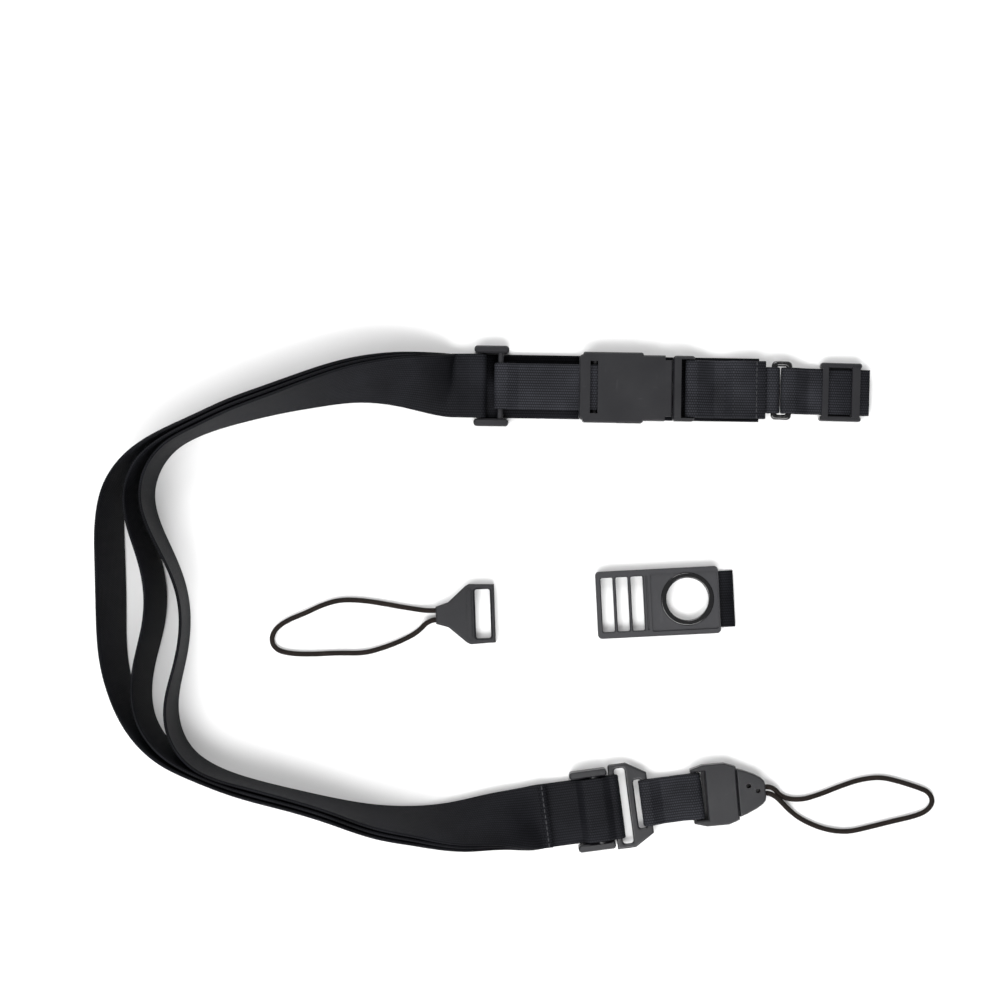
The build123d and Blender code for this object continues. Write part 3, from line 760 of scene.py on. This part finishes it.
@dataclass
class Cord:
    """A free cord that lies along its route's smooth curve.

    Attributes:
        name: The piece's name.
        route: The control points of its curve, from one end to the other.
        length: Its length; not used.
        diameter: Its thickness.
        around: How many faces it has round it.
        resolution: How finely its curve is cut between control points.
    """

    name: str
    route: Sequence[Triple]
    length: float
    diameter: float = 0.002
    around: int = 20
    resolution: int = 24

    def centreline(self) -> np.ndarray:
        """Points along the route's own curve, close together."""
        curve = bpy.data.curves.new(self.name + "_line", "CURVE")
        curve.dimensions = "3D"
        curve.resolution_u = self.resolution
        spline = curve.splines.new("NURBS")
        spline.points.add(len(self.route) - 1)
        for point, place in zip(spline.points, self.route):
            point.co = (*place, 1.0)
        spline.order_u = 3
        spline.use_endpoint_u = True
        line = bpy.data.objects.new(self.name + "_line", curve)
        bpy.context.scene.collection.objects.link(line)
        bpy.context.view_layer.update()
        mesh = bpy.data.meshes.new_from_object(line)
        places = np.array([tuple(v.co) for v in mesh.vertices])
        bpy.data.objects.remove(line)
        bpy.data.meshes.remove(mesh)
        return places

    def build(
        self, material: bpy.types.Material
    ) -> tuple[bpy.types.Object, np.ndarray]:
        """Makes the cord's round mesh.

        Args:
            material: Its finish.

        Returns:
            The piece, and the points that it follows.
        """
        places = self.centreline()
        ways = np.gradient(places, axis=0)
        ways /= np.linalg.norm(ways, axis=1)[:, None]
        left = np.cross((0.0, 0.0, 1.0), ways)
        left /= np.linalg.norm(left, axis=1)[:, None]
        up = np.cross(ways, left)
        turns = np.arange(self.around) * 2 * pi / self.around
        ring = left[:, None] * np.cos(turns)[None, :, None]
        ring += up[:, None] * np.sin(turns)[None, :, None]
        points = places[:, None] + ring * self.diameter / 2
        steps = np.linalg.norm(np.diff(places, axis=0), axis=1)
        uvs = np.empty((*points.shape[:2], 2))
        uvs[..., 0] = (np.arange(self.around) / self.around)[None]
        uvs[..., 1] = np.concatenate([[0.0], np.cumsum(steps)])[:, None]
        faces = tube_faces(len(places), self.around)
        piece = add_piece(
            self.name, points.reshape(-1, 3), faces, uvs.reshape(-1, 2), material
        )
        return piece, places


# ----------------------------------------------------------------------------- stitches
@dataclass(frozen=True)
class Stitching:
    """A style of machine stitch, sewn along rows by Geometry Nodes.

    Attributes:
        pitch: From one stitch to the next.
        stitch: A stitch's length.
        thread: The thread's thickness.
        seed: Which of the small differences between stitches it has.
    """

    pitch: float = 0.0022
    stitch: float = 0.0017
    thread: float = 0.0005
    seed: int = 3

    def tree(self, material: bpy.types.Material) -> bpy.types.NodeTree:
        """The tree that lays a stitch at every pitch along a curve.

        Args:
            material: The thread's finish.

        Returns:
            The tree.
        """
        tree = bpy.data.node_groups.new("stitch_rows", "GeometryNodeTree")
        kinds = {
            "Rows": "NodeSocketGeometry",
            "Pitch": "NodeSocketFloat",
            "Stitch": "NodeSocketFloat",
            "Thread": "NodeSocketFloat",
            "Seed": "NodeSocketInt",
        }
        for name, kind in kinds.items():
            tree.interface.new_socket(name=name, in_out="INPUT", socket_type=kind)
        tree.interface.new_socket(
            name="Stitches", in_out="OUTPUT", socket_type="NodeSocketGeometry"
        )
        bench = NodeBench(tree)
        given = bench.node("NodeGroupInput").outputs
        points = bench.node(
            "GeometryNodeCurveToPoints",
            {"mode": "LENGTH"},
            {"Curve": given["Rows"], "Length": given["Pitch"]},
        ).outputs
        thread = Term(bench, given["Thread"]) * 0.5
        reach = Term(bench, given["Stitch"]) * 0.5
        size = bench.node(
            "ShaderNodeCombineXYZ", {}, {0: thread, 1: thread, 2: reach}
        ).outputs[0]
        wobble = bench.node(
            "FunctionNodeRandomValue",
            {"data_type": "FLOAT"},
            {2: 0.9, 3: 1.1, 8: given["Seed"]},
        ).outputs[1]
        scale = bench.node(
            "ShaderNodeVectorMath", {"operation": "SCALE"}, {0: size, "Scale": wobble}
        ).outputs[0]
        bead = bench.node(
            "GeometryNodeMeshUVSphere",
            {},
            {"Segments": 8, "Rings": 6, "Radius": 1.0},
        ).outputs[0]
        laid = bench.node(
            "GeometryNodeInstanceOnPoints",
            {},
            {
                "Points": points["Points"],
                "Instance": bead,
                "Rotation": points["Rotation"],
                "Scale": scale,
            },
        ).outputs[0]
        real = bench.node("GeometryNodeRealizeInstances", {}, {0: laid}).outputs[0]
        smooth = bench.node("GeometryNodeSetShadeSmooth", {}, {0: real}).outputs[0]
        dressed = bench.node(
            "GeometryNodeSetMaterial", {}, {"Geometry": smooth, "Material": material}
        ).outputs[0]
        bench.node("NodeGroupOutput", {}, {0: dressed})
        return tree

    def sew(
        self,
        name: str,
        rows: Sequence[Sequence[Vector]],
        material: bpy.types.Material,
    ) -> bpy.types.Object:
        """Sews stitches along rows, and makes them one plain mesh.

        Args:
            name: The piece's name.
            rows: The points of each row.
            material: The thread's finish.

        Returns:
            The piece.
        """
        curve = bpy.data.curves.new(name + "_rows", "CURVE")
        curve.dimensions = "3D"
        for row in rows:
            spline = curve.splines.new("POLY")
            spline.points.add(len(row) - 1)
            for point, place in zip(spline.points, row):
                point.co = (*place, 1.0)
        guide = bpy.data.objects.new(name + "_rows", curve)
        modifier = guide.modifiers.new("stitches", "NODES")
        modifier.node_group = self.tree(material)
        sizes = {
            "Pitch": self.pitch,
            "Stitch": self.stitch,
            "Thread": self.thread,
            "Seed": self.seed,
        }
        for item in modifier.node_group.interface.items_tree:
            if item.in_out == "INPUT" and item.name in sizes:
                modifier[item.identifier] = sizes[item.name]
        bpy.context.scene.collection.objects.link(guide)
        graph = bpy.context.evaluated_depsgraph_get()
        mesh = bpy.data.meshes.new_from_object(guide.evaluated_get(graph))
        mesh.name = name
        guide.modifiers.remove(modifier)
        bpy.data.objects.remove(guide)
        if not mesh.materials:
            mesh.materials.append(material)
        piece = bpy.data.objects.new(name, mesh)
        bpy.context.scene.collection.objects.link(piece)
        return piece


# ----------------------------------------------------------------------- sub-assemblies
class Level(Enum):
    """The wide strap's three runs, from the outer one in."""

    OUTER = 0
    MIDDLE = 1
    INNER = 2


@dataclass
class WideStrap:
    """The wide webbing: one length that goes three times round between its two ends.

    Each run's route gives the edge that stands on the table, and the webbing's lean
    from upright in degrees: 90 is flat, and 0 stands on its edge.

    Attributes:
        finishes: The set's materials.
        flat_start: Where the runs leave the upper line.
        tail_end: Where the tail ends under the buckle.
        hem_end: Where the inner run's hem ends.
        slack: How much further apart the runs are where they stand upright.
        lean_scale: What a degree of lean counts for beside metres in a route.
        step: About how far apart the stations are.
        hem_inset: How much narrower and shorter the turned-over hem is.
        hem_level: The height of the hem's middle.
        seam_place: How far along the lower line its stitches are.
        seam_inset: How far they stop from the webbing's edges.
        seam_level: How high they lie.
    """

    finishes: Finishes
    flat_start: float = -0.012
    tail_end: float = 0.1105
    hem_end: float = 0.0032
    slack: float = 0.00065
    lean_scale: float = 0.0001
    step: float = 0.0022
    hem_inset: float = 0.0002
    hem_level: float = 0.0053
    seam_place: float = 0.0016
    seam_inset: float = 0.0012
    seam_level: float = 0.0056
    upper_arm: tuple[Triple, ...] = (
        (-0.0215, 0.0746, 74.0),
        (-0.034, 0.079, 50.0),
        (-0.049, 0.0814, 34.0),
        (-0.066, 0.0801, 24.0),
        (-0.084, 0.0772, 15.5),
        (-0.098, 0.074, 11.0),
        (-0.113, 0.0694, 6.0),
    )
    lower_arm: tuple[Triple, ...] = (
        (-0.1128, -0.0678, 5.0),
        (-0.095, -0.0756, 2.5),
        (-0.077, -0.0802, 3.0),
        (-0.058, -0.0842, 7.0),
        (-0.041, -0.0864, 15.0),
        (-0.025, -0.0863, 23.0),
        (-0.009, -0.0834, 38.0),
        (0.007, -0.0784, 58.0),
    )
    bends: ClassVar[dict[Level, tuple[Triple, ...]]] = {
        Level.OUTER: (
            (-0.126, 0.0623, 8.0),
            (-0.1363, 0.0536, 11.0),
            (-0.1418, 0.044, 14.0),
            (-0.1433, 0.032, 17.5),
            (-0.1429, 0.015, 19.0),
            (-0.1425, -0.005, 18.8),
            (-0.142, -0.022, 17.0),
            (-0.1394, -0.036, 14.5),
            (-0.1344, -0.049, 11.0),
            (-0.1256, -0.06, 7.5),
        ),
        Level.MIDDLE: (
            (-0.1255, 0.0622, 7.0),
            (-0.1336, 0.0538, 9.0),
            (-0.137, 0.0433, 11.0),
            (-0.1356, 0.0322, 12.5),
            (-0.1311, 0.018, 12.7),
            (-0.1282, 0.0029, 12.7),
            (-0.129, -0.0099, 12.5),
            (-0.1318, -0.0216, 12.0),
            (-0.1341, -0.035, 11.0),
            (-0.1326, -0.0476, 9.0),
            (-0.1247, -0.0599, 6.5),
        ),
        Level.INNER: (
            (-0.125, 0.0625, 6.0),
            (-0.1321, 0.0532, 6.5),
            (-0.135, 0.0408, 6.0),
            (-0.1323, 0.0284, 5.0),
            (-0.1265, 0.0152, 3.5),
            (-0.1219, 0.0014, 2.0),
            (-0.121, -0.0118, 2.0),
            (-0.1229, -0.0253, 3.0),
            (-0.1254, -0.0382, 4.5),
            (-0.1245, -0.0514, 5.5),
            (-0.1176, -0.0639, 5.0),
        ),
    }
    lower_bends: tuple[float, ...] = (0.00186, 0.00186, 0.0016, 0.002, 0.002, 0.0015)
    upper_fold: tuple[Pair, ...] = (
        (-0.012, 0.003),
        (0.00125, 0.003),
        (0.00125, 0.0064),
        (-0.0045, 0.0064),
        (-0.0095, 0.0043),
        (-0.012, 0.0043),
    )
    lower_fold: tuple[Pair, ...] = (
        (0.0298, 0.0017),
        (0.03175, 0.0017),
        (0.03175, 0.0055),
        (0.0284, 0.0055),
        (0.0256, 0.008),
        (0.0182, 0.008),
        (0.0156, 0.003),
        (0.008, 0.003),
    )

    def run(self, level: Level) -> list[tuple[Vector, Vector]]:
        """One run from the buckle's end to the connector's end.

        Args:
            level: Which run it is.

        Returns:
            Its stations: the webbing's middle, and the way across it.
        """
        route = [*self.upper_arm, *self.bends[level], *self.lower_arm]
        start = UPPER_LINE.place(self.flat_start, -WIDE / 2)
        end = LOWER_LINE.place(0.0, WIDE / 2)
        points = np.array(
            [
                (start.x, start.y, 90 * self.lean_scale),
                *(
                    (x + LAYOUT_SHIFT.x, y + LAYOUT_SHIFT.y, lean * self.lean_scale)
                    for x, y, lean in route
                ),
                (end.x, end.y, 90 * self.lean_scale),
            ]
        )
        ends = -np.array(UPPER_LINE.along()), np.array(LOWER_LINE.along())
        places, ways = smooth_through(points, *ends, self.step)
        stations = []
        for (x, y, tilt), way in zip(places, ways):
            lean = radians(min(tilt / self.lean_scale, 90.0))
            along = Vector((way[0], way[1], 0.0)).normalized()
            outward = Vector((along.y, -along.x, 0.0))
            across = outward * sin(lean) + Vector((0, 0, cos(lean)))
            inward = Vector((0, 0, sin(lean))) - outward * cos(lean)
            lift = PLY / 2 * sin(lean) + STANDING_FLOOR * sin(lean) ** 2
            apart = level.value * (PLY_STEP + self.slack * cos(lean))
            foot = Vector((x, y, lift)) + inward * apart
            stations.append((foot + across * WIDE / 2, across))
        return stations

    def strap(self) -> Webbing:
        """The whole length, from its tail under the buckle to its hem."""
        webbing = Webbing(WIDE)
        levels = [LOW_LEVEL + k * PLY_STEP for k in range(3)]
        tail = [(self.tail_end, levels[0]), (self.flat_start, levels[0])]
        webbing.fold(UPPER_LINE, tail)
        for middle, across in self.run(Level.OUTER):
            webbing.lay(middle, across)
        webbing.fold(LOWER_LINE, self.lower_fold, self.lower_bends, -1)
        for middle, across in reversed(self.run(Level.MIDDLE)):
            webbing.lay(middle, across)
        webbing.fold(UPPER_LINE, self.upper_fold, (0.00167, 0.00167, 0.002, 0.001))
        for middle, across in self.run(Level.INNER):
            webbing.lay(middle, across)
        webbing.fold(LOWER_LINE, [(0.0, levels[2]), (self.hem_end, levels[2])], (), -1)
        return webbing

    def build(self) -> None:
        """Makes the strap, its hem and the hem's stitches."""
        webbing = self.strap()
        strap = webbing.build("wide_strap", self.finishes.webbing)
        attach(strap, "strap")
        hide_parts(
            *("outer_run", "middle_run", "inner_run", "strap_tail"),
            *("upper_turn", "lower_turn"),
        )
        turned = Webbing(WIDE - self.hem_inset, PLY / 2)
        ends = [(x, self.hem_level) for x in (self.hem_inset, self.hem_end)]
        turned.fold(LOWER_LINE, ends, (), -1)
        hem = turned.build("strap_end_hem", self.finishes.webbing)
        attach(hem, "strap")
        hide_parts("strap_hem")
        reach = WIDE / 2 - self.seam_inset
        row = [
            LOWER_LINE.place(self.seam_place, side, self.seam_level)
            for side in (-reach, reach)
        ]
        stitches = Stitching().sew("hem_seam", [row], self.finishes.thread)
        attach(stitches, "strap")
        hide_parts("hem_stitches")
        webbing.length()
        log.info("wide strap: %.0f mm long", webbing.length() * 1000)


@dataclass(frozen=True)
class StrapPart:
    """A short strap folded round its fittings.

    Attributes:
        node: The CAD node that it stands for.
        name: The piece's name.
        body: What it moves with.
        line: The line that it lies on.
        width: Its width.
        corners: Its side-on corners.
        radii: Each bend's radius.
        rests_on: The fittings that hold it; not used.
    """

    node: str
    name: str
    body: str
    line: TableLine
    width: float
    corners: tuple[Pair, ...]
    radii: tuple[float, ...]
    rests_on: tuple[str, ...]


SHORT_STRAPS = (
    StrapPart(
        "buckle_strap",
        "buckle_webbing",
        "upper_adjuster",
        UPPER_LINE,
        NARROW,
        (
            (0.0258, 0.003),
            (0.00545, 0.003),
            (0.00545, 0.0064),
            (0.0099, 0.0064),
            (0.0144, 0.0043),
            (0.038, 0.0043),
            (0.0425, 0.0067),
            (0.04695, 0.0067),
            (0.04695, 0.0033),
            (0.0425, 0.0033),
            (0.04, 0.003),
            (0.0262, 0.003),
        ),
        (
            *(0.00163, 0.00163, 0.0015, 0.0015, 0.0015),
            *(0.0012, 0.00163, 0.00163, 0.0008, 0.0008),
        ),
        ("upper_slider", "buckle_socket"),
    ),
    StrapPart(
        "stitched_loop",
        "loop_webbing",
        "plug_half",
        UPPER_LINE,
        0.023,
        (
            (0.1128, 0.003),
            (0.0904, 0.003),
            (0.0854, 0.0042),
            (0.08145, 0.0042),
            (0.08145, 0.0076),
            (0.0854, 0.0076),
            (0.0924, 0.0043),
            (0.097, 0.0043),
            (0.1002, 0.0069),
            (0.1128, 0.0069),
        ),
        (0.001, 0.001, 0.00163, 0.00163, 0.0015, 0.0015, 0.0008, 0.0008),
        ("buckle_plug",),
    ),
    StrapPart(
        "ring_keeper",
        "keeper_webbing",
        "plug_half",
        UPPER_LINE,
        NARROW,
        (
            (0.102, 0.0043),
            (0.113, 0.0043),
            (0.1148, 0.00315),
            (0.118, 0.00315),
            (0.118, 0.00675),
            (0.1148, 0.00675),
            (0.113, 0.0056),
            (0.102, 0.0056),
        ),
        (0.0008, 0.0008, 0.00173, 0.00173, 0.0008, 0.0008),
        ("rectangular_ring",),
    ),
    StrapPart(
        "terminal_strap",
        "terminal_webbing",
        "terminal",
        TERMINAL_LINE,
        NARROW,
        (
            (0.0371, 0.0017),
            (0.0136, 0.0017),
            (0.0081, 0.00315),
            (0.0033, 0.00315),
            (0.0033, 0.00675),
            (0.0081, 0.00675),
            (0.0136, 0.003),
            (0.0383, 0.003),
        ),
        (0.004, 0.002, 0.00173, 0.00173, 0.003, 0.004),
        ("rectangular_ring",),
    ),
    StrapPart(
        "lower_strap",
        "connector_webbing",
        "adapter",
        LOWER_LINE,
        NARROW,
        (
            (0.0522, 0.0017),
            (0.04055, 0.0017),
            (0.04055, 0.0055),
            (0.0441, 0.0055),
            (0.0485, 0.003),
            (0.0568, 0.003),
            (0.0603, 0.0051),
            (0.06425, 0.0051),
            (0.06425, 0.0017),
            (0.0526, 0.0017),
        ),
        (0.00182, 0.00182, 0.0015, 0.0015, 0.0015, 0.0015, 0.00163, 0.00163),
        ("adapter_ring",),
    ),
)


@dataclass
class ShortStraps:
    """The narrow straps and loops that join the fittings."""

    finishes: Finishes
    parts: tuple[StrapPart, ...] = SHORT_STRAPS
    seam_place: float = 0.1092
    seam_reach: float = 0.0105
    seam_level: float = 0.0075

    def build(self) -> None:
        """Makes each strap."""
        for part in self.parts:
            webbing = Webbing(part.width, columns=18)
            webbing.fold(part.line, part.corners, part.radii)
            piece = webbing.build(part.name, self.finishes.narrow)
            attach(piece, part.body)
            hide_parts(part.node)
            seams = self.seams() if part.node == "stitched_loop" else []
            webbing.length()
            log.info("%s: %.0f mm long", part.name, webbing.length() * 1000)

    def seams(self) -> list[bpy.types.Object]:
        """The stitches that close the loop after the buckle."""
        row = [
            UPPER_LINE.place(self.seam_place, side * self.seam_reach, self.seam_level)
            for side in (-1, 1)
        ]
        seam = Stitching().sew("loop_seam", [row], self.finishes.thread)
        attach(seam, "plug_half")
        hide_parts("loop_stitches")
        return [seam]


@dataclass
class PlateSet:
    """The webbing tab at the slotted plate's end."""

    finishes: Finishes
    tab_width: float = 0.0226
    tab_reach: Pair = (0.0195, 0.0297)

    def build(self) -> None:
        """Makes the tab."""
        webbing = Webbing(self.tab_width)
        webbing.fold(PLATE_LINE, [(x, PLY / 2) for x in self.tab_reach])
        tab = webbing.build("tab_webbing", self.finishes.webbing)
        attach(tab, "plate")
        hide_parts("plate_tab")
        webbing.length()
        log.info("plate tab: %.0f mm long", webbing.length() * 1000)


@dataclass(frozen=True)
class Softening:
    """A moulded part's edges, rounded as the mould leaves them.

    Attributes:
        width: How wide the rounding is.
        segments: How many faces it has.
        sharpest: The angle between faces that is rounded, in degrees.
        flattest: The angle below which faces are joined first, in degrees.
        merged: How close corners are when they count as one.
    """

    width: float = 0.00025
    segments: int = 3
    sharpest: float = 40.0
    flattest: float = 1.5
    merged: float = 2e-6

    def apply(self, node: bpy.types.Object, name: str) -> bpy.types.Object:
        """Makes a copy of a part with its edges rounded.

        Args:
            node: The part.
            name: The copy's name.

        Returns:
            The copy.
        """
        mesh = node.data.copy()
        mesh.name = name
        shell = bmesh.new()
        shell.from_mesh(mesh)
        bmesh.ops.remove_doubles(shell, verts=shell.verts, dist=self.merged)
        bmesh.ops.dissolve_limit(
            shell,
            angle_limit=radians(self.flattest),
            verts=shell.verts,
            edges=shell.edges,
        )
        shell.to_mesh(mesh)
        shell.free()
        if "custom_normal" in mesh.attributes:
            mesh.attributes.remove(mesh.attributes["custom_normal"])
        draft = bpy.data.objects.new(name, mesh)
        bpy.context.scene.collection.objects.link(draft)
        bevel = draft.modifiers.new("rounded_edges", "BEVEL")
        bevel.width = self.width
        bevel.segments = self.segments
        bevel.limit_method = "ANGLE"
        bevel.angle_limit = radians(self.sharpest)
        bevel.use_clamp_overlap = True
        bevel.harden_normals = True
        graph = bpy.context.evaluated_depsgraph_get()
        rounded = bpy.data.meshes.new_from_object(draft.evaluated_get(graph))
        rounded.name = name
        draft.modifiers.remove(bevel)
        draft.data = rounded
        return draft


@dataclass
class Fittings:
    """The moulded and wire parts."""

    finishes: Finishes
    nodes: dict[str, bpy.types.Object]
    softening: Softening = Softening()
    softened: ClassVar[dict[str, str]] = {
        "buckle_socket": "upper_adjuster",
        "buckle_plug": "plug_half",
        "connector_socket": "connector",
        "connector_nose": "cord_half",
        "adapter_ring": "adapter",
        "ladder_plate": "plate",
        "spare_connector": "spare",
        "end_slider": "terminal_adjuster",
        "upper_slider": "upper_adjuster",
        "lower_slider": "lower_adjuster",
    }
    slots: ClassVar[dict[Slot, tuple[str, ...]]] = {
        Slot.BLACK: (
            *("upper_slider", "lower_slider", "end_slider", "adapter_ring"),
            *("buckle_socket", "buckle_plug", "latch_arm_left", "latch_arm_right"),
            *("connector_socket", "connector_nose", "spare_connector", "plate_pads"),
        ),
        Slot.GREY: ("ladder_plate",),
        Slot.WIRE: ("rectangular_ring", "eyelet"),
    }

    def build(self) -> None:
        """Dresses each part in its finish."""
        for slot, names in self.slots.items():
            for name in names:
                part = self.nodes[name]
                if name in self.softened:
                    part = self.softening.apply(part, name + "_moulding")
                    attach(part, self.softened[name])
                    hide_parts(name)
                part.data.materials.clear()
                part.data.materials.append(self.finishes.of(slot))
            log.info("%s: %s", slot.value, ", ".join(names))


@dataclass
class CordLoops:
    """The two cord loops."""

    finishes: Finishes
    thickness: float = 0.002
    table_level: float = 0.001
    nose_ends: tuple[Triple, ...] = (
        (0.110952, -0.074969, 0.0034),
        (0.11394, -0.074708, 0.0034),
        (0.114167, -0.077298, 0.0034),
        (0.111178, -0.077559, 0.0034),
    )
    lower_route: tuple[Pair, ...] = (
        (0.1198, -0.0796),
        (0.1272, -0.0806),
        (0.1352, -0.0782),
        (0.143, -0.075),
        (0.151, -0.0723),
        (0.1592, -0.0713),
        (0.1664, -0.073),
        (0.1734, -0.0752),
        (0.1786, -0.0772),
        (0.1803, -0.081),
        (0.178, -0.0848),
        (0.1728, -0.087),
        (0.1648, -0.0888),
        (0.1552, -0.0912),
        (0.146, -0.0934),
        (0.1374, -0.0924),
        (0.1296, -0.0894),
        (0.1234, -0.0854),
    )
    spare_ends: tuple[Triple, ...] = (
        (-0.020366, -0.004701, 0.0023),
        (-0.023364, -0.004806, 0.0023),
        (-0.023232, -0.008604, 0.0023),
        (-0.020234, -0.008499, 0.0023),
    )
    spare_route: tuple[Pair, ...] = (
        (-0.0254, -0.0044),
        (-0.033, -0.0032),
        (-0.041, -0.0017),
        (-0.049, -0.0006),
        (-0.057, -0.0005),
        (-0.064, -0.0026),
        (-0.0708, -0.0059),
        (-0.0772, -0.0084),
        (-0.0822, -0.0116),
        (-0.0844, -0.016),
        (-0.0826, -0.0202),
        (-0.0776, -0.0219),
        (-0.0688, -0.0223),
        (-0.0578, -0.0217),
        (-0.0476, -0.0219),
        (-0.0404, -0.02),
        (-0.0328, -0.0172),
        (-0.0256, -0.0134),
    )

    def whole(self, ends: tuple[Triple, ...], route: tuple[Pair, ...]) -> list[Triple]:
        """A loop's route: out of its connector, over the table, and back in."""
        lain = [(x + LAYOUT_SHIFT.x, y, self.table_level) for x, y in route]
        return [*ends[:2], *lain, *ends[2:]]

    def build(self) -> None:
        """Makes both loops."""
        for name, body, ends, route, length in (
            ("lower_loop", "cord_half", self.nose_ends, self.lower_route, 0.1496),
            ("spare_loop", "spare", self.spare_ends, self.spare_route, 0.1437),
        ):
            cord = Cord(name + "_cord", self.whole(ends, route), length, self.thickness)
            piece, places = cord.build(self.finishes.cord)
            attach(piece, body)
            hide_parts(name)
            thick = self.thickness * 1e3
            log.info("%s: %.0f mm of %.1f mm cord", name, length * 1e3, thick)


# ------------------------------------------------------------------------------- studio
@dataclass(frozen=True)
class SoftBox:
    """A square soft light that faces the table's middle."""

    name: str
    place: Triple
    side: float
    watts: float

    def build(self) -> None:
        """Adds the light."""
        data = bpy.data.lights.new(self.name, "AREA")
        data.shape = "SQUARE"
        data.size = self.side
        data.energy = self.watts
        light = bpy.data.objects.new(self.name, data)
        light.location = self.place
        light.rotation_euler = (-Vector(self.place)).to_track_quat("-Z", "Y").to_euler()
        bpy.context.scene.collection.objects.link(light)


@dataclass
class Studio:
    """The table, its light and the camera above it."""

    camera_place: Triple = (0.0055, 0.0392, 1.1)
    lens: float = 98.9
    sensor: float = 36.0
    table_half: float = 1.5
    table_level: float = -0.0002
    sky: float = 0.3
    lights: tuple[SoftBox, ...] = (
        SoftBox("key_light", (-0.6, -0.8, 1.2), 1.3, 30.0),
        SoftBox("fill_light", (0.35, -0.9, 1.3), 0.7, 12.0),
        SoftBox("rim_light", (-0.2, 1.1, 0.9), 0.8, 13.0),
    )

    def build(self) -> None:
        """Sets up the camera, the table and the light."""
        scene = bpy.context.scene
        scene.view_settings.view_transform = "Standard"
        data = bpy.data.cameras.new("camera_above")
        data.lens = self.lens
        data.sensor_width = self.sensor
        data.clip_start = 0.01
        camera = bpy.data.objects.new("camera_above", data)
        camera.location = self.camera_place
        scene.collection.objects.link(camera)
        scene.camera = camera
        half = self.table_half
        mesh = bpy.data.meshes.new("table_top")
        corners = [(-half, -half), (half, -half), (half, half), (-half, half)]
        points = [(x, y, self.table_level) for x, y in corners]
        mesh.from_pydata(points, [], [(0, 1, 2, 3)])
        mesh.materials.append(PaintedTable("pale_table", (0.9, 0.9, 0.9)).material())
        table = bpy.data.objects.new("table_top", mesh)
        scene.collection.objects.link(table)
        world = bpy.data.worlds.new("soft_room")
        world.use_nodes = True
        background = world.node_tree.nodes["Background"]
        background.inputs["Color"].default_value = (1.0, 1.0, 1.0, 1.0)
        background.inputs["Strength"].default_value = self.sky
        scene.world = world
        for light in self.lights:
            light.build()
        log.info("studio: camera %.2f m above the table", self.camera_place[2])


def main() -> None:
    """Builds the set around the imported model."""
    logging.basicConfig(level=logging.INFO, format="%(message)s")
    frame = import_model()
    Studio().build()
    finishes = Finishes.make()
    CordLoops(finishes).build()
    WideStrap(finishes).build()
    ShortStraps(finishes).build()
    PlateSet(finishes).build()
    Fittings(finishes, frame["nodes"]).build()


if __name__ == "__main__":
    main()
